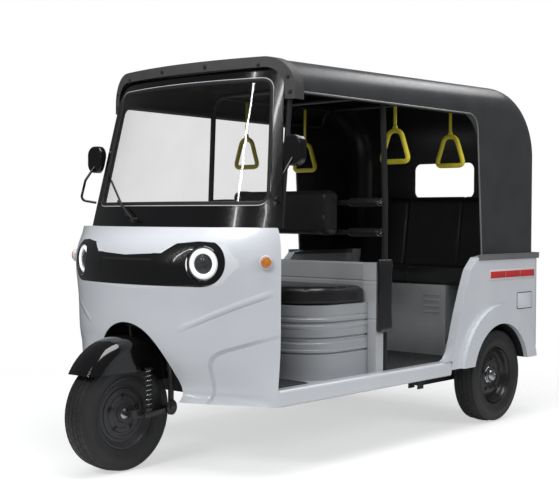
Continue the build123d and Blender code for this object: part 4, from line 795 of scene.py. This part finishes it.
def addHeadlamp(side, tag, look):
    splay = radians(look["splay"])
    aim = Vector((side * sin(splay), -cos(splay), 0))
    centre = (side * look["x"], look["y"], look["z"])
    bezel, ring, lens = look["bezel"], look["ring"], look["lens"]
    build = bmesh.new()
    turned(build, [(-50, 0), (-50, bezel - 4), (-14, bezel), (1, bezel), (4, bezel - 2.5), (3, bezel - 6),
                   (-4, ring + 2), (-6, ring), (-14, ring - 2), (-14, 0)], centre, aim, 64)
    flush(build, "lampShell" + tag, ["glossBlack"], "body", ["headlamp_" + tag])
    build = bmesh.new()
    turned(build, [(-8, ring), (-2, ring - 0.5), (3.5, ring - 5), (6, (ring + lens) / 2), (4, lens + 5),
                   (0, lens + 1), (-8, lens), (-8, ring)], centre, aim, 64)
    flush(build, "lampRing" + tag, ["lampRing"], "body")
    build = bmesh.new()
    turned(build, [(-10, lens + 1), (-3, lens), (-1, lens - 3), (-2.5, lens - 5), (1, lens - 12),
                   (4, lens * 0.45), (5, 0)], centre, aim, 64)
    up, across = Vector((0, 0, 1)), aim.cross(Vector((0, 0, 1)))
    for turn in range(look["ticks"]):  # ticks round the lens
        angle = 2 * pi * turn / look["ticks"]
        spoke = up * cos(angle) + across * sin(angle)
        spot = Vector(centre) + spoke * (lens + 0.5) + aim * 1.5
        swept(build, [spot - spoke * 2, spot + spoke * 2], disc(0.9, 6), upright=aim)
    flush(build, "lampLens" + tag, ["lensMesh"], "body")


indicatorLook = {"x": 622, "y": -905, "z": 912, "splay": 62, "boss": 29.5, "lens": 21.5}


def addIndicator(side, tag, look):
    splay, boss, lens = radians(look["splay"]), look["boss"], look["lens"]
    aim = Vector((side * sin(splay), -cos(splay), 0))
    centre = Vector((side * look["x"], look["y"], look["z"]))
    build = bmesh.new()
    turned(build, [(-9, boss - 3.5), (2, boss), (5, boss - 0.5), (7, boss - 3.5), (6.5, boss - 7.5),
                   (-9, boss - 7.5), (-9, boss - 3.5)], centre, aim, 40)
    flush(build, "indicatorBoss" + tag, ["paleTrim"], "body")
    build = bmesh.new()
    turned(build, [(-11, lens), (10, lens), (14, lens - 1.5), (15, lens - 4.5), (13, lens - 7.5),
                   (15.5, lens - 11.5), (17.5, 0)], centre, aim, 40)
    flush(build, "indicatorLens" + tag, ["amberLens"], "body", ["indicator_" + tag])


for side, tag in ((1, "L"), (-1, "R")):
    addHeadlamp(side, tag, lampLook)
    addIndicator(side, tag, indicatorLook)


gasketLook = {"low": 1158, "high": 1698, "halfLow": 549, "halfHigh": 484, "bend": 52, "lineGap": 8}


def screenLoop(look, grow, ahead):  # closed run on the glass round its clear part
    low, high, flat = look["low"] - grow, look["high"] + grow, []
    for half, z, order in ((look["halfLow"] + grow, low, (-1, -0.5, 0, 0.5, 1)),
                           (look["halfHigh"] + grow, high, (1, 0.5, 0, -0.5, -1))):
        flat += [(half * share, 0, z) for share in order]
    flat = rounded(flat, look["bend"] + grow, 8, True)
    dense = []
    for k, here in enumerate(flat):
        after = flat[(k + 1) % len(flat)]
        parts = max(1, int((after - here).length / 40))
        dense += [here.lerp(after, t / parts) for t in range(parts)]
    return [(p.x, screenDepth(p.x, p.z, ahead), p.z) for p in dense]


def addGasket(look):
    outward = (0, -1, 0.2)
    build = bmesh.new()
    swept(build, screenLoop(look, 0, 0.6), disc(4, 8, 2.6), True, outward)
    flush(build, "glassGasket", ["blackPlastic"], "body")
    build = bmesh.new()
    swept(build, screenLoop(look, look["lineGap"], 2.6), disc(2.1, 6), True, outward)
    flush(build, "gasketLine", ["paleTrim"], "body")


addGasket(gasketLook)


eaveLook = {"half": 604, "flare": 0.0315, "front": -665, "turn": 560, "corner": 738, "height": 1643,
            "footY": 790, "footZ": 908, "bend": 180, "thick": 4.5}


def roofSide(look, y):  # half width of the roof at a station, with the bead 1 mm proud
    return look["half"] + look["flare"] * y + 1


def addEave(side, tag, look):  # bead along the roof's lower edge and down its rear edge
    height, turn = look["height"], look["turn"]
    path = [(side * roofSide(look, y), y, height) for y in (look["front"], 0, turn)]
    bends = [(0, turn, height), (0, look["corner"], height), (0, look["footY"], look["footZ"])]
    for p in rounded(bends, look["bend"], 12)[1:]:
        path.append((side * roofSide(look, p.y), p.y - 1, p.z))
    build = bmesh.new()
    swept(build, path, disc(look["thick"], 10), False, (side, 0.02, 0.01))
    flush(build, "eaveBead" + tag, ["greyTrim"], "body")


def sidePlate(x, y0, y1, z0, z1):  # corners of a plate that faces sideways
    return [(x, y0, z0), (x, y1, z0), (x, y1, z1), (x, y0, z1)]


beltLook = {"skin": 655, "front": 722, "middle": 1000, "rear": 1400, "corner": 524, "height": 894, "bend": 80,
            "half": 14, "thick": 5.5, "bead": 2.2, "highlightOut": 4}


def addBelt(side, tag, look):  # moulding between body and roof, round the rear corner, with a painted highlight along its top edge
    skin, rear, height = side * look["skin"], look["rear"], look["height"]
    half, thick, out = look["half"], look["thick"], look["highlightOut"]
    bends = [(skin, look["middle"], height), (skin, rear, height), (side * look["corner"], rear, height)]
    path = [(skin, look["front"], height), (skin, look["middle"], height)]
    path += [tuple(p) for p in rounded(bends, look["bend"], 10)[1:]]
    bead = [(x + (side * out if y < rear - 20 else 0), y + (out if y > rear - 70 else 0), z + half + 1)
            for x, y, z in path]
    build = bmesh.new()
    swept(build, path, [(1 - thick, -half), (thick - 1, -half), (thick, 0), (thick - 1, half),
                        (1 - thick, half), (-thick, 0)])
    # pale tube on the moulding's top edge: a painted highlight
    swept(build, bead, disc(look["bead"], 8), paint=1)
    flush(build, "beltMoulding" + tag, ["greyTrim", "paleTrim"], "body")


reflectorLook = {"skin": 655, "front": 838, "low": 782, "high": 818, "long": 154, "pitch": 158, "count": 3,
                 "border": 10, "backThick": 2, "thick": 1.6}


def addReflector(side, tag, look):
    low, high, border, front = look["low"], look["high"], look["border"], look["front"]
    rear = front + (look["count"] - 1) * look["pitch"] + look["long"]
    build = bmesh.new()
    slab(build, sidePlate(side * look["skin"], front - border, rear + border, low - border, high + border),
         (side * look["backThick"], 0, 0), 0.8)
    flush(build, "reflectorBack" + tag, ["paleTrim"], "body")
    build = bmesh.new()
    for part in range(look["count"]):
        start = front + part * look["pitch"]
        face = sidePlate(side * (look["skin"] + look["backThick"]), start, start + look["long"], low, high)
        slab(build, face, (side * look["thick"], 0, 0), 0.6)
    flush(build, "reflector" + tag, ["reflectorRed"], "body")


for side, tag in ((1, "L"), (-1, "R")):
    addEave(side, tag, eaveLook)
    addBelt(side, tag, beltLook)
    addReflector(side, tag, reflectorLook)

flapLook = {"skin": 655, "front": 1122, "rear": 1290, "low": 602, "high": 695, "bend": 14, "gap": 4,
            "gapThick": 0.8, "lidThick": 1.6}


def addFlap(look):  # charging flap: thin lid over a dark gap
    skin, bend = look["skin"], look["bend"]
    for name, finish, inset, x, thick, bend, bevel in (
            ("flapGap", "blackPlastic", 0, skin, look["gapThick"], bend, 0),
            ("flapLid", "bodyPaint", look["gap"], skin + 0.6, look["lidThick"], bend - 2, 0.8)):
        face = sidePlate(x, look["front"] + inset, look["rear"] - inset, look["low"] + inset,
                         look["high"] - inset)
        build = bmesh.new()
        slab(build, [tuple(p) for p in rounded(face, bend, 5, True)], (thick, 0, 0), bevel)
        flush(build, name, [finish], "body")


addFlap(flapLook)

mirrorLook = {"x": 648, "z": 1383, "radius": 46, "stretch": 1.24}


def addMirrorGlass(side, tag, look):
    low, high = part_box("mirror_" + tag)
    centre = Vector((side * look["x"], high[1] * 1000 - 2, look["z"]))
    radius = look["radius"]
    build = bmesh.new()
    turned(build, [(-3, 0), (-3, radius), (1, radius), (2.2, radius - 2), (2.6, 0)], (0, 0, 0), (0, 1, 0), 48)
    for vert in build.verts:
        vert.co.z *= look["stretch"]
        vert.co += centre / 1000
    flush(build, "mirrorGlass" + tag, ["brightSteel"], "body")


matLook = {"border": 8, "bend": 25, "ribInset": 30, "ribPitch": 24, "ribEnd": 20, "proud": 1.5}


def addMatFrame(node, tag, look):  # raised border and ribs on a floor mat
    low, high = [Vector(corner) * 1000 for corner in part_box(node)]
    top, border, inset = high.z + look["proud"], look["border"], look["ribInset"]
    left, right, front, rear = low.x + border, high.x - border, low.y + border, high.y - border
    path = rounded([(left, front, top), (right, front, top), (right, rear, top), (left, rear, top)],
                   look["bend"], 5, True)
    build = bmesh.new()
    swept(build, path, disc(2.4, 6, 2.5), True)
    wide = high.x - low.x - 2 * inset
    ribs = int(wide / look["ribPitch"])
    for k in range(ribs + 1):
        x = low.x + inset + k * wide / ribs
        swept(build, [(x, low.y + look["ribEnd"], top - 1), (x, high.y - look["ribEnd"], top - 1)],
              disc(2.6, 6, 1.6))
    flush(build, "matRibs" + tag, ["matRubber"], "body")


for side, tag in ((1, "L"), (-1, "R")):
    addMirrorGlass(side, tag, mirrorLook)
addMatFrame("front_mat", "Front", matLook)
addMatFrame("rear_mat", "Rear", matLook)

clampLook = {"x": 545, "wide": 17, "y": -19, "levels": (1030, 1175), "bore": 13, "radius": 20,
             "postX": 576, "postY": -34}


def addClamps(look):  # collars at the bars' ends and their screws on the post
    inner, outer, bore, radius = look["x"], look["x"] + look["wide"], look["bore"], look["radius"]
    collar = [(inner, bore), (inner, radius - 1), (inner + 4, radius), (outer - 4, radius),
              (outer, radius - 1), (outer, bore)]
    screw = [(-19, 0), (-19, 8), (-15, 9), (10, 9), (13, 7), (13, 0)]
    build = bmesh.new()
    for side in (1, -1):
        for level in look["levels"]:
            turned(build, [(side * along, reach) for along, reach in collar], (0, look["y"], level), steps=28)
            turned(build, screw, (side * look["postX"], look["postY"], level), (0, 1, 0), 20)
    flush(build, "barClamps", ["brightSteel"], "body")


addClamps(clampLook)
smallBolt = boltSeed("smallBolt", 7, 5)
capBoltPlaces = ((566, 1640), (556, 1705), (420, 1764), (140, 1772))  # x on both sides, and z


def addCapBolts(places):  # each seated where a level line from the front meets the cap
    spots, aims = [], []
    row = [(-x, z) for x, z in places] + [(x, z) for x, z in reversed(places)]
    for x, z in row:
        found, spot, facing, index = nodes["roof_cap"].ray_cast((x / 1000, -2, z / 1000), (0, 1, 0))
        if found and spot.y < -0.6:
            spots.append(spot * 1000)
            aims.append(facing)
    spread("capBolts", spots, aims, smallBolt, "blackSteel", "body")


addCapBolts(capBoltPlaces)

handleLook = {"width": 96, "bar": 11, "bend": 34, "top": 1530, "topHalf": 34, "ridges": 4, "ridgePitch": 23,
              "strap": 8, "clip": 16}


def addHandle(name, look):  # triangular grip on a strap
    low, high = [Vector(corner) * 1000 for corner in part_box(name)]
    x, y = (low.x + high.x) / 2, (low.y + high.y) / 2
    top, bar, half = look["top"], look["bar"], look["topHalf"]
    wide, base = look["width"] - bar, low.z + bar + 0.5
    path = rounded([(x - half, y, top), (x - wide, y, base), (x + wide, y, base), (x + half, y, top)],
                   look["bend"], 8, True)
    build = bmesh.new()
    swept(build, path, disc(bar, 12, 1.15), True, (0, 1, 0))
    for k in range(look["ridges"]):  # finger ridges
        turned(build, [(-9, 2), (-7, 6.5), (0, 8.5), (7, 6.5), (9, 2)],
               (x + (k - (look["ridges"] - 1) / 2) * look["ridgePitch"], y, base + bar * 0.55), (1, 0, 0), 14)
    strap, clip = look["strap"], look["clip"]
    slab(build, [(x - strap, y - 3, top - 12), (x + strap, y - 3, top - 12), (x + strap, y - 3, high.z - 2),
                 (x - strap, y - 3, high.z - 2)], (0, 6, 0), 1)
    slab(build, [(x - clip, y - 8, top - 10), (x + clip, y - 8, top - 10), (x + clip - 5, y - 7, top + 24),
                 (x - clip + 5, y - 7, top + 24)], (0, 15, 0), 4)
    flush(build, name + "Grip", ["yellowHandle"], "body", [name])


for name in ("grab_handle_L1", "grab_handle_L2", "grab_handle_R1", "grab_handle_R2"):
    addHandle(name, handleLook)

springLooks = {"front_spring_": {"body": "steering", "radius": 18.6, "wire": 5.5, "turns": 8},
               "rear_spring_": {"body": "body", "radius": 29.6, "wire": 8, "turns": 5}}


def addSpring(name, look):  # coil between two cups
    low, high = [Vector(corner) * 1000 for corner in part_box(name)]
    x, y = (low.x + high.x) / 2, (low.y + high.y) / 2
    radius, wire, turns = look["radius"], look["wire"], look["turns"]
    first, last, core = low.z + wire * 1.4, high.z - wire * 1.4, radius * 0.4
    build = bmesh.new()
    turned(build, [(low.z, 0), (low.z, radius - 1), (first, radius), (first, core), (last, core),
                   (last, radius), (high.z, radius - 1), (high.z, 0)], (x, y, 0), (0, 0, 1), 28)
    flush(build, name + "Cups", ["blackSteel"], look["body"], [name])
    build = bmesh.new()
    steps = int(turns * 18)
    reach = radius - wire / 2 - 0.5
    path = [(x + reach * cos(2 * pi * turns * k / steps), y + reach * sin(2 * pi * turns * k / steps),
             first + (last - first) * k / steps) for k in range(steps + 1)]
    swept(build, path, disc(wire / 2, 8))
    flush(build, name + "Coil", ["brightSteel"], look["body"])


for side in ("L", "R"):
    for kind, look in springLooks.items():
        addSpring(kind + side, look)

footLook = {"x": 654.6, "deep": 46,
            "curve": ((404, 375.4), (430, 377), (452, 386), (468, 402), (480, 424), (489, 448), (492, 375.4))}


def addQuarterFoot(side, tag, look):  # curve from the quarter's front edge on to the sill
    build = bmesh.new()
    slab(build, [(side * look["x"], y, z) for y, z in look["curve"]], (side * -look["deep"], 0, 0), 2)
    flush(build, "quarterFoot" + tag, ["bodyPaint"], "body")


for side, tag in ((1, "L"), (-1, "R")):
    addQuarterFoot(side, tag, footLook)

linkLook = {"x": 124, "y": -968, "z": 262, "lugHalf": (30, 34), "lugThick": 6, "pin": 13,
            "armX": 8, "armThick": 5, "arm": ((-1118, 232), (-980, 238), (-980, 262), (-1118, 256))}


def addLinkage(look):  # link plates and bracket beside the front spring
    pin = look["pin"]
    build = bmesh.new()
    for side in (1, -1):
        x = side * look["x"]
        ring = [(x, look["y"] + look["lugHalf"][0] * cos(2 * pi * k / 16),
                 look["z"] + look["lugHalf"][1] * sin(2 * pi * k / 16)) for k in range(16)]
        slab(build, ring, (side * look["lugThick"], 0, 0), 1)
        turned(build, [(x, 0), (x, pin), (x + side * 11, pin), (x + side * 13, pin - 3), (x + side * 13, 0)],
               (0, look["y"], look["z"]), (1, 0, 0), 6)
        arm = rounded([(x, y, z) for y, z in look["arm"]], 10, 4, True)
        slab(build, [(x - side * look["armX"], p.y, p.z) for p in arm], (side * look["armThick"], 0, 0), 1)
    flush(build, "forkLinks", ["blackSteel"], "steering")


latchLook = {"x": 574, "wide": 16, "lean": 12, "low": 1136, "high": 1166, "thick": 7}


def addLatch(look):  # clips at the windscreen's lower corners
    x0, x1 = look["x"], look["x"] + look["wide"]
    low, high = look["low"], look["high"]
    y = screenDepth(590, 1150, 1)
    build = bmesh.new()
    for side in (1, -1):
        corners = ((x0, y, low), (x1, y + look["lean"], low), (x1, y + look["lean"], high), (x0, y, high))
        slab(build, [(side * p[0], p[1], p[2]) for p in corners], (0, -look["thick"], 0), 2)
    flush(build, "screenLatches", ["brightSteel"], "body")


addLinkage(linkLook)
addLatch(latchLook)

ventLook = {"x": 318, "wide": 100, "y": 714.6, "low": 590, "high": 13, "pitch": 31, "rows": 4}


def facePlate(x0, x1, y, z0, z1):  # corners of a plate that faces forwards
    return [(x0, y, z0), (x1, y, z0), (x1, y, z1), (x0, y, z1)]


def addVents(look):  # louvres in the bench base, each with a dark slot
    inner, outer, y = look["x"], look["x"] + look["wide"], look["y"]
    build = bmesh.new()
    for side in (1, -1):
        for row in range(look["rows"]):
            low = look["low"] + row * look["pitch"]
            slab(build, facePlate(side * inner, side * outer, y, low, low + look["high"]), (0, -3, 0), 1)
            slab(build, facePlate(side * (inner + 6), side * (outer - 6), y - 3.2, low + 3, low + 8),
                 (0, -0.8, 0), 0, 1)
    flush(build, "benchVents", ["greyPlastic", "blackPlastic"], "body")


addVents(ventLook)
print("fittings ready")


stageLook = {"pale": 0.9, "solid": 1.2, "gone": 3.4, "strength": 0.45, "rings": (0.6, 1.2, 2.4, 4.8, 9.0),
             "steps": 48}


def addStage(look):  # pale floor that fades out with distance
    mesh = bpy.data.meshes.new("floor")
    build = bmesh.new()
    steps = look["steps"]
    rows = [[build.verts.new((reach * cos(2 * pi * k / steps), reach * sin(2 * pi * k / steps), 0))
             for k in range(steps)] for reach in look["rings"]]
    build.faces.new(rows[0])
    for inner, outer in zip(rows, rows[1:]):
        for k in range(steps):
            after = (k + 1) % steps
            build.faces.new((inner[k], outer[k], outer[after], inner[after]))
    build.to_mesh(mesh)
    build.free()
    floor = bpy.data.objects.new("floor", mesh)
    bpy.context.collection.objects.link(floor)
    tree = Tree("floorPale")
    shade = tree.noise(0.4, 2.0).fit(0.3, 0.7)
    base = tree.mix(shade, (look["pale"],) * 3, (look["pale"] + 0.02,) * 3)
    away = (tree.axis(0) ** 2 + tree.axis(1) ** 2).calc("SQRT")
    fade = away.fit(look["solid"], look["gone"], look["strength"], 0.0)
    mesh.materials.append(tree.finish(base=base, rough=0.7, alpha=fade, specular=0.1))


def addLamp(name, place, target, size, power, shows):
    data = bpy.data.lights.new(name, "AREA")
    data.shape, data.size, data.size_y, data.energy = "RECTANGLE", size[0], size[1], power
    lamp = bpy.data.objects.new(name, data)
    lamp.location = place
    lamp.rotation_euler = (Vector(target) - Vector(place)).to_track_quat("-Z", "Y").to_euler()
    lamp.visible_glossy = shows
    bpy.context.collection.objects.link(lamp)


worldLook = {"paper": 1.0, "dome": 0.46, "sheen": 0.09, "tint": (0.95, 0.975, 1.0)}


def addWorld(look):  # white to the camera, a dim sheen in reflections, a soft dome for the rest
    world = bpy.data.worlds.new("studio")
    world.use_nodes = True
    links, made = world.node_tree.links, world.node_tree.nodes
    made.clear()

    def sky(strength, colour):
        node = made.new("ShaderNodeBackground")
        node.inputs["Color"].default_value = (*colour, 1)
        node.inputs["Strength"].default_value = strength
        return node.outputs[0]

    def choose(ray, first, second):
        node = made.new("ShaderNodeMixShader")
        links.new(path.outputs[ray], node.inputs["Fac"])
        links.new(first, node.inputs[1])
        links.new(second, node.inputs[2])
        return node.outputs[0]

    path = made.new("ShaderNodeLightPath")
    lit = choose("Is Glossy Ray", sky(look["dome"], look["tint"]), sky(look["sheen"], look["tint"]))
    out = made.new("ShaderNodeOutputWorld")
    links.new(choose("Is Camera Ray", lit, sky(look["paper"], (1, 1, 1))), out.inputs["Surface"])
    bpy.context.scene.world = world


lampRows = (  # name, place, target, size, power, whether reflections show it
    ("top", (0.8, -0.6, 5.0), (0, 0, 1.0), (4.0, 3.0), 230, True),
    ("front", (1.2, -6.5, 4.6), (0, -0.8, 0.9), (2.6, 1.4), 240, False),
    ("strip", (-0.9, -5.0, 3.2), (0, -0.9, 1.3), (0.05, 3.0), 14, True),
    ("arc", (0.1, -5.2, 3.0), (0, -0.9, 1.3), (0.03, 2.4), 7, True),
    ("back", (0.6, 6.0, 6.2), (0.2, 0.2, 1.7), (3.6, 1.6), 75, True),
    ("side", (6.0, 1.4, 3.4), (0, 0.3, 0.9), (2.4, 1.6), 125, False),
)
addCamera(cameraView)
addStage(stageLook)
addWorld(worldLook)
for lampRow in lampRows:
    addLamp(*lampRow)
bpy.context.scene.view_settings.view_transform = "Standard"
print("stage ready")
